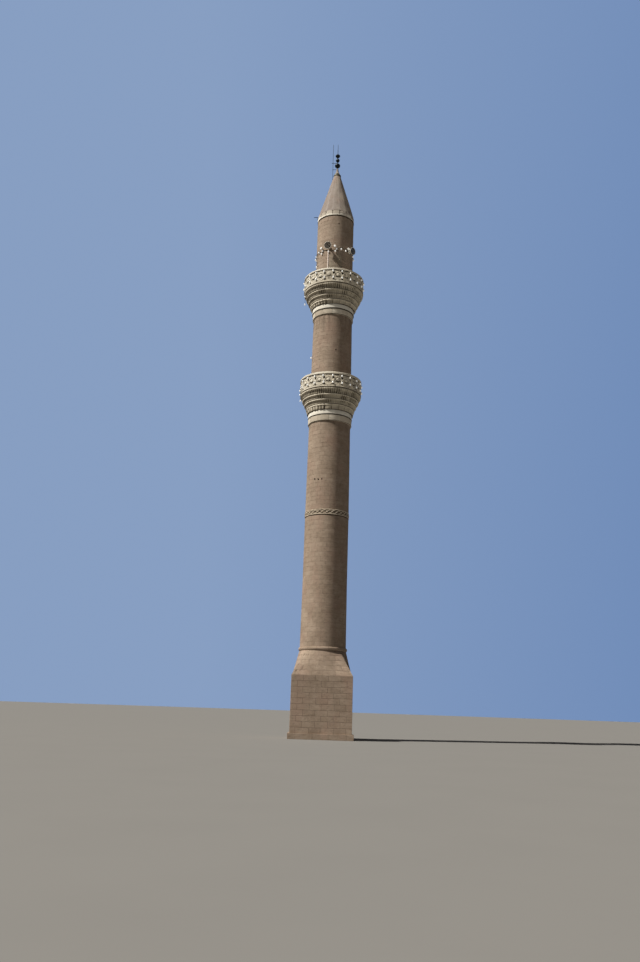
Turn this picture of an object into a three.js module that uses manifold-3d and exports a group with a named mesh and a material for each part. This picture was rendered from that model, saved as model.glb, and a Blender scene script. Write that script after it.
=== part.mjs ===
// Stone minaret with two corbelled balconies, a round drum and a conical cap.
// Millimetres, +Z up, origin on the ground on the tower's axis. The front faces -Y.

import * as THREE from "three";
import { mergeVertices } from "three/addons/utils/BufferGeometryUtils.js";
import Module from "manifold-3d";

const wasm = await Module();
wasm.setup();

// Sides of the faceted rounds, and the gap kept between curved pieces that touch
const SHAFT_SIDES = 32;
const PARAPET_BAYS = 21;
const PARAPET_SIDES = 2 * PARAPET_BAYS;
const TOUCH_GAP = 0.3;

// Compass of the plan, in degrees counter-clockwise from +X seen from above
const FRONT = 270;
const BALCONY_DOOR_SIDE = FRONT - 110;

// Base
const PLINTH_SIDE = 3500;
const PLINTH_TOP = 300;
const PEDESTAL_SIDE = 3300;
const PEDESTAL_TOP = 3300;
const PEDESTAL_WALL = 600;
const BASE_DOOR_WIDTH = 800;
const BASE_DOOR_HEIGHT = 2100;
const TRANSITION_TOP = 4650;
const TRANSITION_TOP_RADIUS = 1300;
const BASE_RING_TOP = 4850;
const BASE_RING_RADIUS = 1355;
const BASE_RING_FACE = 80;

// Shaft
const STAIR_RADIUS = 860;
const UPPER_STAIR_RADIUS = 815;
const DRUM_ROOM_RADIUS = 790;
const SHAFT_FOOT_RADIUS = 1285;
const SHAFT_RADIUS = 1262;
const SHAFT_STRAIGHT_FROM = 8400;
const BAND_BOTTOM = 12180;
const BAND_TOP = 12540;
const BAND_RADIUS = 1298;
const BAND_CORD = 60;
const SHAFT_HEAD_RADIUS = 1228;
const UPPER_SHAFT_FOOT_RADIUS = 1222;
const UPPER_SHAFT_HEAD_RADIUS = 1183;
const DRUM_RADIUS = 1138;
const DRUM_TOP = 31400;

// Balconies
const BALCONY_RADIUS = 1850;
const FLOOR_RADIUS = 1842;
const PARAPET_OUTER = 1820;
const PARAPET_INNER = 1720;
const RAIL_INNER = 1705;
const FILLET = 55;
const FILLET_STEP = 14;
const GROOVE_DEPTH = 25;
const GROOVE_HEIGHT = 28;
const SOFFIT = 35;
const COVE_DEPTH = 0.46;
const BALCONY_DOOR_WIDTH = 600;
const BALCONY_DOOR_HEIGHT = 1750;
const CUT_OVERLAP = 100;

const lowerBalcony = {
  name: "lower",
  bore: STAIR_RADIUS,
  postSide: FRONT + 3.5,
  bottom: 17830,
  collarTop: 18180,
  collarRadius: 1295,
  plainTop: 18490,
  plainRadius: 1316,
  flutedTop: 18800,
  flutedRadius: 1440,
  firstCoveTop: 19080,
  firstCoveRadius: 1560,
  secondCoveTop: 19350,
  secondCoveRadius: 1690,
  thirdCoveTop: 19690,
  thirdCoveRadius: 1818,
  floorTop: 19810,
  railBottom: 20520,
  railTop: 20660,
};

const upperBalcony = {
  name: "upper",
  bore: UPPER_STAIR_RADIUS,
  postSide: FRONT - 1.7,
  bottom: 24640,
  collarTop: 24970,
  collarRadius: 1242,
  plainTop: 25290,
  plainRadius: 1285,
  flutedTop: 25540,
  flutedRadius: 1425,
  firstCoveTop: 25825,
  firstCoveRadius: 1550,
  secondCoveTop: 26095,
  secondCoveRadius: 1685,
  thirdCoveTop: 26425,
  thirdCoveRadius: 1818,
  floorTop: 26580,
  railBottom: 27270,
  railTop: 27390,
};

// Carved recesses of a parapet bay: heights as shares of the panel's height, the rest in mm
const RECESS_DEPTH = 60;
const POST_RECESS_WIDTH = 105;
const UPPER_RECESS_AT = 0.69;
const UPPER_RECESS_HEIGHT = 200;
const LOWER_RECESS_AT = 0.13;
const LOWER_RECESS_HEIGHT = 125;
const CRESCENT_AT = 0.49;
const CRESCENT_WIDTH = 250;
const CRESCENT_DROP = 115;
const CRESCENT_THICKNESS = 62;

// Cap
const CAP_RING_TOP = 31800;
const CAP_RING_RADIUS = 1155;
const CAP_FOOT_RADIUS = 1140;
const CAP_HEAD_RADIUS = 222;
const CAP_TOP = 34900;
const CAP_INSIDE_RADIUS = 980;
const CAP_INSIDE_TOP = 34400;

// Finial
const FINIAL_SIDES = 14;
const COLLAR_FOOT_RADIUS = 230;
const COLLAR_RADIUS = 240;
const COLLAR_HEAD_RADIUS = 168;
const COLLAR_TOP = 35100;
const COLLAR_FACE_TOP = 34990;
const NECK_FOOT_RADIUS = 160;
const NECK_WAIST_RADIUS = 99;
const NECK_WAIST = 35230;
const NECK_HEAD_RADIUS = 60;
const NECK_TOP = 35500;
const STEM_RADIUS = 30;
const BALL_STEPS = 6;
const balls = [
  { name: "finial_large_ball", centre: 35750, radius: 172, half: 148, foot: NECK_TOP, head: 35960, stem: 60 },
  { name: "finial_middle_ball", centre: 36150, radius: 122, half: 128, foot: 35960, head: 36320, stem: 30 },
  { name: "finial_small_ball", centre: 36480, radius: 148, half: 110, foot: 36320, head: 36650, stem: 30 },
];
const SPIKE_TOP = 37370;
const SPIKE_FOOT_RADIUS = 18;
const SPIKE_HEAD_RADIUS = 7;

// Lightning rod beside the finial
const ROD_SIDE = 180;
const ROD_OFFSET = 300;
const ROD_RADIUS = 12;
const ROD_FOOT = 34590;
const ROD_TOP = 37350;
const ROD_BAR_SIZE = 26;
const rodBars = [
  { height: 35460, reach: ROD_OFFSET },
  { height: 35935, reach: ROD_OFFSET + 80 },
];
const ROD_SIDES = 8;

// Fittings on the drum
const HORN_SIDES = 16;
const HORN_WALL_CLEARANCE = 40;
const HORN_TILT = 8;
const HORN_LENGTH = 360;
const HORN_MOUTH_RADIUS = 235;
const HORN_SHELL = 10;
const HORN_NECK_RADIUS = 42;
const HORN_BEND_RADIUS = 99;
const HORN_BEND = 270;
const DRIVER_RADIUS = 88;
const DRIVER_LENGTH = 100;
const ARM_SIZE = 50;
const ARM_BURIED = 40;
const horns = [
  { name: "horn_front", side: FRONT - 18, height: 29165 },
  { name: "horn_right", side: FRONT + 46, height: 29035 },
];
const LAMP_HEIGHT = 29190;
const LAMP_RADIUS = 78;
const LAMP_BACK_RADIUS = 55;
const LAMP_LENGTH = 130;
const LAMP_CLEARANCE = 45;
const lamps = [
  { name: "lamp_left", side: FRONT - 43 },
  { name: "lamp_front", side: FRONT - 1 },
  { name: "lamp_right", side: FRONT + 41 },
];
const CABLE_HEIGHT = 28930;
const CABLE_SIZE = 18;
const CONDUIT_SIDE = FRONT - 22;
const CONDUIT_WIDTH = 60;
const CONDUIT_DEPTH = 28;
const CONDUIT_TOP = 28860;

// Materials
const shaftStone = new THREE.MeshStandardMaterial({ color: 0xa18d78, roughness: 0.92, flatShading: true });
const balconyStone = new THREE.MeshStandardMaterial({ color: 0xbcb39c, roughness: 0.9, flatShading: true });
const capStone = new THREE.MeshStandardMaterial({ color: 0xa8968a, roughness: 0.92, flatShading: true });
const darkMetal = new THREE.MeshStandardMaterial({ color: 0x1d2426, roughness: 0.5, metalness: 0.8 });
const paintedMetal = new THREE.MeshStandardMaterial({ color: 0xc9c6ba, roughness: 0.5, metalness: 0.1 });
const whitePlastic = new THREE.MeshStandardMaterial({ color: 0xdcd8cf, roughness: 0.55 });
const blackCable = new THREE.MeshStandardMaterial({ color: 0x2a2926, roughness: 0.7 });

const minaret = new THREE.Group();

function piece(name, geometry, material) {
  const mesh = new THREE.Mesh(geometry, material);
  mesh.name = name;
  minaret.add(mesh);
  return mesh;
}

function direction(degrees) {
  const angle = THREE.MathUtils.degToRad(degrees);
  return new THREE.Vector2(Math.cos(angle), Math.sin(angle));
}

// Leaves only shared positions, so that the surface closes, and drops faces with no area.
function welded(geometry) {
  const plain = geometry.index ? geometry.toNonIndexed() : geometry.clone();
  plain.deleteAttribute("normal");
  plain.deleteAttribute("uv");
  const merged = mergeVertices(plain, 1e-3);
  const source = merged.index.array;
  const kept = [];
  for (let i = 0; i < source.length; i += 3) {
    const [a, b, c] = [source[i], source[i + 1], source[i + 2]];
    if (a !== b && b !== c && c !== a) {
      kept.push(a, b, c);
    }
  }
  merged.setIndex(kept);
  return merged;
}

function toSolid(geometry) {
  const closed = welded(geometry);
  return new wasm.Manifold(new wasm.Mesh({
    numProp: 3,
    vertProperties: Float32Array.from(closed.attributes.position.array),
    triVerts: Uint32Array.from(closed.index.array),
  }));
}

function toGeometry(solid) {
  const mesh = solid.getMesh();
  const geometry = new THREE.BufferGeometry();
  geometry.setAttribute("position", new THREE.BufferAttribute(Float32Array.from(mesh.vertProperties), 3));
  geometry.setIndex(Array.from(mesh.triVerts));
  geometry.computeVertexNormals();
  return geometry;
}

// Turns an outline of [radius, height] points about the axis. The outline runs down the bore or
// axis first, then out and up the outer face, and closes on itself unless it ends on the axis.
function turned(outline, sides, startAngle = 0) {
  const points = outline.map(([radius, height]) => new THREE.Vector2(radius, height));
  const [first, last] = [points[0], points[points.length - 1]];
  if (first.x !== 0 || last.x !== 0) {
    points.push(first.clone());
  }
  return welded(new THREE.LatheGeometry(points, sides, startAngle).rotateX(Math.PI / 2));
}

function hollowCourse(bore, bottom, top, outerFace, sides = SHAFT_SIDES, startAngle = 0) {
  return turned([[bore, top], [bore, bottom], ...outerFace], sides, startAngle);
}

// A straight-sided block whose long axis leaves the tower's axis towards a compass side.
function radialBlock(side, nearRadius, farRadius, width, bottom, top) {
  const middle = (nearRadius + farRadius) / 2;
  const toward = direction(side);
  const block = new THREE.BoxGeometry(farRadius - nearRadius, width, top - bottom);
  block.rotateZ(THREE.MathUtils.degToRad(side));
  block.translate(toward.x * middle, toward.y * middle, (bottom + top) / 2);
  return block;
}

function block(name, low, high, material) {
  const size = high.map((value, axis) => value - low[axis]);
  const geometry = new THREE.BoxGeometry(...size);
  geometry.translate(...low.map((value, axis) => value + size[axis] / 2));
  return piece(name, geometry, material);
}

// Base: a plinth course, four pedestal walls round a square room, and a doorway at the back
function makeBase() {
  const plinth = PLINTH_SIDE / 2;
  const outer = PEDESTAL_SIDE / 2;
  const inner = outer - PEDESTAL_WALL;
  const jamb = BASE_DOOR_WIDTH / 2;
  const doorTop = PLINTH_TOP + BASE_DOOR_HEIGHT;
  block("plinth_course", [-plinth, -plinth, 0], [plinth, plinth, PLINTH_TOP], shaftStone);
  block("pedestal_front_wall", [-outer, -outer, PLINTH_TOP], [outer, -inner, PEDESTAL_TOP], shaftStone);
  block("pedestal_left_wall", [-outer, -inner, PLINTH_TOP], [-inner, inner, PEDESTAL_TOP], shaftStone);
  block("pedestal_right_wall", [inner, -inner, PLINTH_TOP], [outer, inner, PEDESTAL_TOP], shaftStone);
  block("pedestal_back_wall_left", [-outer, inner, PLINTH_TOP], [-jamb, outer, PEDESTAL_TOP], shaftStone);
  block("pedestal_back_wall_right", [jamb, inner, PLINTH_TOP], [outer, outer, PEDESTAL_TOP], shaftStone);
  block("pedestal_door_lintel", [-jamb, inner, doorTop], [jamb, outer, PEDESTAL_TOP], shaftStone);
}

// The square foot passes to the round shaft: each ring of points is joined to the next.
function makeTransition() {
  const half = PEDESTAL_SIDE / 2;
  const rings = [[], [], [], []];
  for (let i = 0; i < SHAFT_SIDES; i += 1) {
    const toward = direction((360 / SHAFT_SIDES) * i);
    const reach = half / Math.max(Math.abs(toward.x), Math.abs(toward.y));
    rings[0].push([toward.x * STAIR_RADIUS, toward.y * STAIR_RADIUS, PEDESTAL_TOP]);
    rings[1].push([toward.x * reach, toward.y * reach, PEDESTAL_TOP]);
    rings[2].push([toward.x * TRANSITION_TOP_RADIUS, toward.y * TRANSITION_TOP_RADIUS, TRANSITION_TOP]);
    rings[3].push([toward.x * STAIR_RADIUS, toward.y * STAIR_RADIUS, TRANSITION_TOP]);
  }
  const index = [];
  for (let ring = 0; ring < rings.length; ring += 1) {
    const next = (ring + 1) % rings.length;
    for (let i = 0; i < SHAFT_SIDES; i += 1) {
      const a = ring * SHAFT_SIDES + i;
      const b = ring * SHAFT_SIDES + ((i + 1) % SHAFT_SIDES);
      const c = next * SHAFT_SIDES + ((i + 1) % SHAFT_SIDES);
      const d = next * SHAFT_SIDES + i;
      index.push(a, b, c, a, c, d);
    }
  }
  const geometry = new THREE.BufferGeometry();
  geometry.setAttribute("position", new THREE.Float32BufferAttribute(rings.flat(2), 3));
  geometry.setIndex(index);
  geometry.computeVertexNormals();
  piece("transition", geometry, shaftStone);
}

function makeBaseRing() {
  const middle = (TRANSITION_TOP + BASE_RING_TOP) / 2;
  const outerFace = [
    [TRANSITION_TOP_RADIUS, TRANSITION_TOP],
    [BASE_RING_RADIUS, middle - BASE_RING_FACE / 2],
    [BASE_RING_RADIUS, middle + BASE_RING_FACE / 2],
    [TRANSITION_TOP_RADIUS, BASE_RING_TOP],
  ];
  piece("base_ring", hollowCourse(STAIR_RADIUS, TRANSITION_TOP, BASE_RING_TOP, outerFace), shaftStone);
}

function makeShaft() {
  piece("lower_shaft", hollowCourse(STAIR_RADIUS, BASE_RING_TOP, BAND_BOTTOM, [
    [SHAFT_FOOT_RADIUS, BASE_RING_TOP],
    [SHAFT_RADIUS, SHAFT_STRAIGHT_FROM],
    [SHAFT_RADIUS, BAND_BOTTOM],
  ]), shaftStone);
  piece("carved_band", hollowCourse(STAIR_RADIUS, BAND_BOTTOM, BAND_TOP, [
    [SHAFT_RADIUS + BAND_CORD / 3, BAND_BOTTOM],
    [BAND_RADIUS, BAND_BOTTOM + BAND_CORD],
    [BAND_RADIUS, BAND_TOP - BAND_CORD],
    [SHAFT_RADIUS, BAND_TOP],
  ]), shaftStone);
  piece("middle_shaft", hollowCourse(STAIR_RADIUS, BAND_TOP, lowerBalcony.bottom, [
    [SHAFT_RADIUS, BAND_TOP],
    [SHAFT_HEAD_RADIUS, lowerBalcony.bottom],
  ]), shaftStone);
  piece("upper_shaft", withDoor(hollowCourse(UPPER_STAIR_RADIUS, lowerBalcony.floorTop, upperBalcony.bottom, [
    [UPPER_SHAFT_FOOT_RADIUS, lowerBalcony.floorTop],
    [UPPER_SHAFT_HEAD_RADIUS, upperBalcony.bottom],
  ]), lowerBalcony.floorTop, UPPER_STAIR_RADIUS), shaftStone);
  piece("drum", withDoor(hollowCourse(DRUM_ROOM_RADIUS, upperBalcony.floorTop, DRUM_TOP, [
    [DRUM_RADIUS, upperBalcony.floorTop],
    [DRUM_RADIUS, DRUM_TOP],
  ]), upperBalcony.floorTop, DRUM_ROOM_RADIUS), shaftStone);
}

// Cuts a doorway that stands on the balcony's floor.
function withDoor(wall, floor, bore) {
  const inside = bore / 2;
  const outside = BALCONY_RADIUS;
  const head = floor + BALCONY_DOOR_HEIGHT;
  const gap = radialBlock(BALCONY_DOOR_SIDE, inside, outside, BALCONY_DOOR_WIDTH, floor - CUT_OVERLAP, head);
  return toGeometry(toSolid(wall).subtract(toSolid(gap)));
}

// A moulding that starts in a groove, leans out in a hollow and ends in a square fillet.
function coveFace(bottomRadius, bottom, topRadius, top) {
  const filletBottom = top - FILLET;
  const soffit = bottom + GROOVE_HEIGHT;
  const throatRadius = bottomRadius + (topRadius - bottomRadius) * COVE_DEPTH;
  return [
    [bottomRadius - GROOVE_DEPTH, bottom],
    [bottomRadius - GROOVE_DEPTH, soffit],
    [bottomRadius + SOFFIT, soffit],
    [throatRadius, (soffit + filletBottom) / 2],
    [topRadius - FILLET_STEP, filletBottom],
    [topRadius, filletBottom],
    [topRadius, top],
  ];
}

function makeBalcony(balcony) {
  const name = (part) => `${balcony.name}_${part}`;
  const course = (part, bottom, top, face) => {
    piece(name(part), hollowCourse(balcony.bore, bottom, top, face), balconyStone);
  };
  const { bottom, collarTop, plainTop, flutedTop, firstCoveTop, secondCoveTop, thirdCoveTop } = balcony;
  course("collar_band", bottom, collarTop, [
    [balcony.collarRadius, bottom],
    [balcony.collarRadius, collarTop],
  ]);
  course("plain_band", collarTop, plainTop, [
    [balcony.plainRadius, collarTop],
    [balcony.plainRadius, plainTop],
  ]);
  course("fluted_ring", plainTop, flutedTop, [
    [balcony.plainRadius, plainTop],
    [balcony.plainRadius + SOFFIT, plainTop + GROOVE_HEIGHT],
    [balcony.flutedRadius - FILLET_STEP, flutedTop - FILLET],
    [balcony.flutedRadius, flutedTop - FILLET],
    [balcony.flutedRadius, flutedTop],
  ]);
  course("double_cove", flutedTop, secondCoveTop, [
    ...coveFace(balcony.flutedRadius - FILLET_STEP, flutedTop, balcony.firstCoveRadius, firstCoveTop),
    ...coveFace(balcony.firstCoveRadius - FILLET_STEP, firstCoveTop, balcony.secondCoveRadius, secondCoveTop),
  ]);
  course("top_cove", secondCoveTop, thirdCoveTop, coveFace(
    balcony.secondCoveRadius - FILLET_STEP, secondCoveTop, balcony.thirdCoveRadius, thirdCoveTop,
  ));
  const bayRing = (part, inner, ringBottom, ringTop, outer) => {
    piece(name(part), parapetCourse(balcony, inner, ringBottom, ringTop, outer), balconyStone);
  };
  bayRing("balcony_floor", balcony.bore, thirdCoveTop, balcony.floorTop, FLOOR_RADIUS);
  makeParapet(balcony, name("parapet"));
  bayRing("parapet_rail", RAIL_INNER, balcony.railBottom, balcony.railTop, BALCONY_RADIUS);
}

// A square-edged ring with two flat faces a bay, one of them centred on each post line.
function parapetCourse(balcony, inner, bottom, top, outer) {
  const firstCorner = THREE.MathUtils.degToRad(balcony.postSide - FRONT + 180 / PARAPET_SIDES);
  return hollowCourse(inner, bottom, top, [[outer, bottom], [outer, top]], PARAPET_SIDES, firstCorner);
}

// Stone parapet with carved recesses: two at each post line and a crescent in each bay
function makeParapet(balcony, name) {
  const { floorTop, railBottom } = balcony;
  const heightAt = (share) => floorTop + (railBottom - floorTop) * share;
  const step = 360 / PARAPET_BAYS;
  let solid = toSolid(parapetCourse(balcony, PARAPET_INNER, floorTop, railBottom, PARAPET_OUTER));
  for (let bay = 0; bay < PARAPET_BAYS; bay += 1) {
    const post = balcony.postSide + bay * step;
    const recesses = [
      carved(ovalShape(POST_RECESS_WIDTH, UPPER_RECESS_HEIGHT), post, heightAt(UPPER_RECESS_AT)),
      carved(ovalShape(POST_RECESS_WIDTH, LOWER_RECESS_HEIGHT), post, heightAt(LOWER_RECESS_AT)),
      carved(crescentShape(), post + step / 2, heightAt(CRESCENT_AT)),
    ];
    for (const recess of recesses) {
      solid = solid.subtract(toSolid(recess));
    }
  }
  piece(name, toGeometry(solid), balconyStone);
}

function ovalShape(width, height) {
  const corners = [];
  for (let i = 0; i < 6; i += 1) {
    const angle = (Math.PI / 3) * i + Math.PI / 6;
    corners.push(new THREE.Vector2((Math.cos(angle) * width) / 2, (Math.sin(angle) * height) / 2));
  }
  return new THREE.Shape(corners);
}

function crescentShape() {
  const under = [];
  const over = [];
  const innerWidth = CRESCENT_WIDTH / 2 - CRESCENT_THICKNESS;
  const innerDrop = CRESCENT_DROP - CRESCENT_THICKNESS;
  for (let i = 0; i <= 3; i += 1) {
    const angle = Math.PI + (Math.PI / 3) * i;
    under.push(new THREE.Vector2((Math.cos(angle) * CRESCENT_WIDTH) / 2, Math.sin(angle) * CRESCENT_DROP));
  }
  for (let i = 2; i >= 1; i -= 1) {
    const angle = Math.PI + (Math.PI / 3) * i;
    over.push(new THREE.Vector2(Math.cos(angle) * innerWidth, Math.sin(angle) * innerDrop));
  }
  return new THREE.Shape([...under, ...over]);
}

// A prism let into the parapet from outside, its outline upright and facing the given compass side.
function carved(shape, side, height) {
  const faceRadius = PARAPET_OUTER * Math.cos(Math.PI / PARAPET_SIDES);
  const prism = new THREE.ExtrudeGeometry(shape, { depth: 2 * RECESS_DEPTH, bevelEnabled: false });
  const toward = direction(side);
  prism.translate(0, 0, -RECESS_DEPTH);
  prism.rotateX(Math.PI / 2);
  prism.rotateZ(THREE.MathUtils.degToRad(side + 90));
  prism.translate(toward.x * faceRadius, toward.y * faceRadius, height);
  return prism;
}

// Cap: an upright ring of stones under a hollow stone cone
function makeCap() {
  piece("cap_ring", hollowCourse(DRUM_ROOM_RADIUS, DRUM_TOP, CAP_RING_TOP, [
    [CAP_RING_RADIUS, DRUM_TOP],
    [CAP_RING_RADIUS, CAP_RING_TOP],
  ]), capStone);
  piece("cap_cone", turned(capOutline(0), SHAFT_SIDES), capStone);
}

function capOutline(grow) {
  return [
    [0, CAP_INSIDE_TOP],
    [CAP_INSIDE_RADIUS, CAP_RING_TOP],
    [CAP_FOOT_RADIUS + grow, CAP_RING_TOP],
    [CAP_HEAD_RADIUS + grow, CAP_TOP],
    [0, CAP_TOP],
  ];
}

function neckOutline(grow) {
  return [
    [0, COLLAR_TOP],
    [NECK_FOOT_RADIUS + grow, COLLAR_TOP],
    [NECK_WAIST_RADIUS + grow, NECK_WAIST],
    [NECK_HEAD_RADIUS + grow, NECK_TOP],
    [0, NECK_TOP],
  ];
}

function ballOutline(ball, grow) {
  const outline = [[0, ball.foot], [ball.stem + grow, ball.foot]];
  for (let i = 1; i < BALL_STEPS; i += 1) {
    const angle = -Math.PI / 2 + (Math.PI / BALL_STEPS) * i;
    outline.push([Math.cos(angle) * ball.radius + grow, ball.centre + Math.sin(angle) * ball.half]);
  }
  outline.push([STEM_RADIUS + grow, ball.head], [0, ball.head]);
  return outline;
}

// Finial: a collar round the cone's tip, a pale neck, three balls with their stems, and a spike
function makeFinial() {
  piece("finial_collar", turned([
    [0, CAP_TOP],
    [COLLAR_FOOT_RADIUS, CAP_TOP],
    [COLLAR_RADIUS, COLLAR_FACE_TOP],
    [COLLAR_HEAD_RADIUS, COLLAR_TOP],
    [0, COLLAR_TOP],
  ], FINIAL_SIDES), darkMetal);
  piece("finial_neck", turned(neckOutline(0), FINIAL_SIDES), capStone);
  for (const ball of balls) {
    piece(ball.name, turned(ballOutline(ball, 0), FINIAL_SIDES), darkMetal);
  }
  const spikeFoot = balls[2].head;
  piece("finial_spike", turned([
    [0, spikeFoot],
    [SPIKE_FOOT_RADIUS, spikeFoot],
    [SPIKE_HEAD_RADIUS, SPIKE_TOP],
    [0, SPIKE_TOP],
  ], ROD_SIDES), darkMetal);
}

// Lightning rod: its foot seats on the cone and two bars reach the finial's neck and stem
function makeLightningRod() {
  const rod = new THREE.CylinderGeometry(ROD_RADIUS, ROD_RADIUS, ROD_TOP - ROD_FOOT, ROD_SIDES);
  rod.rotateX(Math.PI / 2);
  rod.translate(-ROD_OFFSET, 0, (ROD_TOP + ROD_FOOT) / 2);
  let solid = toSolid(rod);
  const half = ROD_BAR_SIZE / 2;
  for (const bar of rodBars) {
    const [low, high] = [bar.height - half, bar.height + half];
    solid = solid.add(toSolid(radialBlock(ROD_SIDE, 0, bar.reach, ROD_BAR_SIZE, low, high)));
  }
  const grow = TOUCH_GAP * 2;
  solid = solid.subtract(toSolid(turned(capOutline(grow), SHAFT_SIDES)));
  for (const outline of [neckOutline(grow), ...balls.map((ball) => ballOutline(ball, grow))]) {
    solid = solid.subtract(toSolid(turned(outline, FINIAL_SIDES)));
  }
  const largest = solid.decompose().sort((a, b) => b.volume() - a.volume())[0];
  piece("lightning_rod", toGeometry(largest), darkMetal);
}

function drumSeat() {
  return toSolid(turned([
    [0, upperBalcony.floorTop],
    [DRUM_RADIUS + TOUCH_GAP, upperBalcony.floorTop],
    [DRUM_RADIUS + TOUCH_GAP, DRUM_TOP],
    [0, DRUM_TOP],
  ], SHAFT_SIDES));
}

// Places a fitting that was turned about its own +Z so that it points outward and a little down.
function pointOutward(geometry, side, radius, height, tilt) {
  const toward = direction(side);
  geometry.rotateY(THREE.MathUtils.degToRad(90 + tilt));
  geometry.rotateZ(THREE.MathUtils.degToRad(side));
  geometry.translate(toward.x * radius, toward.y * radius, height);
  return geometry;
}

function makeHorn(horn) {
  const throat = HORN_LENGTH / 2;
  const bell = turned([
    [0, 0],
    [DRIVER_RADIUS, 0],
    [DRIVER_RADIUS, DRIVER_LENGTH],
    [HORN_NECK_RADIUS, DRIVER_LENGTH + HORN_SHELL],
    [HORN_NECK_RADIUS, throat],
    [HORN_BEND_RADIUS, HORN_BEND],
    [HORN_MOUTH_RADIUS, HORN_LENGTH - HORN_SHELL],
    [HORN_MOUTH_RADIUS, HORN_LENGTH],
    [HORN_MOUTH_RADIUS - HORN_SHELL, HORN_LENGTH],
    [HORN_BEND_RADIUS - HORN_SHELL, HORN_BEND + HORN_SHELL],
    [HORN_NECK_RADIUS - HORN_SHELL, throat + HORN_SHELL],
    [0, throat + HORN_SHELL],
  ], HORN_SIDES);
  const start = DRUM_RADIUS + HORN_WALL_CLEARANCE;
  const outward = pointOutward(bell, horn.side, start, horn.height, HORN_TILT);
  const arm = radialBlock(
    horn.side, DRUM_RADIUS - ARM_BURIED, start + DRIVER_LENGTH / 2, ARM_SIZE,
    horn.height - ARM_SIZE / 2, horn.height + ARM_SIZE / 2,
  );
  const solid = toSolid(outward).add(toSolid(arm)).subtract(drumSeat());
  piece(horn.name, toGeometry(solid), paintedMetal);
}

function makeLamp(lamp) {
  const body = turned([
    [0, 0],
    [LAMP_BACK_RADIUS, 0],
    [LAMP_RADIUS, LAMP_LENGTH / 2],
    [LAMP_RADIUS, LAMP_LENGTH],
    [0, LAMP_LENGTH],
  ], HORN_SIDES);
  const start = DRUM_RADIUS + LAMP_CLEARANCE;
  const outward = pointOutward(body, lamp.side, start, LAMP_HEIGHT, HORN_TILT);
  const half = ARM_SIZE / 4;
  const arm = radialBlock(
    lamp.side, DRUM_RADIUS - ARM_BURIED, start + LAMP_LENGTH / 2, ARM_SIZE / 2,
    LAMP_HEIGHT - half, LAMP_HEIGHT + half,
  );
  piece(lamp.name, toGeometry(toSolid(outward).add(toSolid(arm)).subtract(drumSeat())), paintedMetal);
}

// The cable of the lamp chain lies round the drum, and a conduit runs down the wall from it.
function makeWiring() {
  const inner = DRUM_RADIUS + TOUCH_GAP;
  const half = CABLE_SIZE / 2;
  piece("drum_light_cable", hollowCourse(inner, CABLE_HEIGHT - half, CABLE_HEIGHT + half, [
    [inner + CABLE_SIZE, CABLE_HEIGHT - half],
    [inner + CABLE_SIZE, CABLE_HEIGHT + half],
  ]), blackCable);
  const conduit = radialBlock(
    CONDUIT_SIDE, DRUM_RADIUS - ARM_BURIED, DRUM_RADIUS + CONDUIT_DEPTH, CONDUIT_WIDTH,
    upperBalcony.floorTop, CONDUIT_TOP,
  );
  piece("horn_conduit", toGeometry(toSolid(conduit).subtract(drumSeat())), whitePlastic);
}

makeBase();
makeTransition();
makeBaseRing();
makeShaft();
makeBalcony(lowerBalcony);
makeBalcony(upperBalcony);
makeCap();
makeFinial();
makeLightningRod();
horns.forEach(makeHorn);
lamps.forEach(makeLamp);
makeWiring();

export default minaret;
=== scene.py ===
import math
import random

import bmesh
import bpy
from mathutils import Matrix, Vector


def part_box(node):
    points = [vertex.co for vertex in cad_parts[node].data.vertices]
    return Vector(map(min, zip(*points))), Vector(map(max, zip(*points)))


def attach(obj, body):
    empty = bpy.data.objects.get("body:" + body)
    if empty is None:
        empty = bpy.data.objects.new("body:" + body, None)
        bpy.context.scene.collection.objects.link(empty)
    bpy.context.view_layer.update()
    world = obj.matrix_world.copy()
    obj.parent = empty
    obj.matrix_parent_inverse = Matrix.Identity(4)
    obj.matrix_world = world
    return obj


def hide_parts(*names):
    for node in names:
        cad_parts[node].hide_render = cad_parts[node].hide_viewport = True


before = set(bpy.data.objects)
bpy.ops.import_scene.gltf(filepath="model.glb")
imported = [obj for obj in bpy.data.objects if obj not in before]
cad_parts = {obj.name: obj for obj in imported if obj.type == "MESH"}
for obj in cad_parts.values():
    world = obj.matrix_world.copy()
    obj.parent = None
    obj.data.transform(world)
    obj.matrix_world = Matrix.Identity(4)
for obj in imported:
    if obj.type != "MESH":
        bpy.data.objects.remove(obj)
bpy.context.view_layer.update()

TAU = 2 * math.pi
FRONT = math.radians(270)
BODY = "root"


def side(degrees):
    """The direction that lies some degrees from the front towards the right."""
    return FRONT + math.radians(degrees)


# Camera of the photograph
CAMERA_AT = (-0.464, -48.19, 1.6)
CAMERA_PITCH = math.radians(14.966)
CAMERA_ROLL = 0.0332
LENS_MM = 31.81
SENSOR_MM = 36.0

# Studio: the sun's azimuth is measured from the front towards the left
KEY_AZIMUTH = math.radians(67)
KEY_ELEVATION = math.radians(50)
KEY_STRENGTH = 4.85
KEY_SOFTNESS = math.radians(2)
KEY_COLOUR = (1.0, 0.965, 0.90)
FILL_COLOUR = (0.069, 0.069, 0.074, 1.0)
FLOOR_RADIUS = 420
DOME_RADIUS = 415
SKY_LEFT = (0.245, 0.345, 0.54)
SKY_RIGHT = (0.170, 0.270, 0.485)

# Round walls: radii of the stairwell and of the faces, doors and vents
LOWER_BORE = 0.86
UPPER_BORE = 0.815
DRUM_BORE = 0.79
TRANSITION_HEAD = 1.30
LOWER_WALL = 1.262
FLARE = 0.023
FLARE_TOP = 8.4
MIDDLE_HEAD = 1.228
UPPER_FOOT = 1.222
UPPER_HEAD = 1.183
DRUM_WALL = 1.138
DOOR_SIDE = side(-110)
DOOR_WIDTH = 0.6
DOOR_HEIGHT = 1.75

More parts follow.
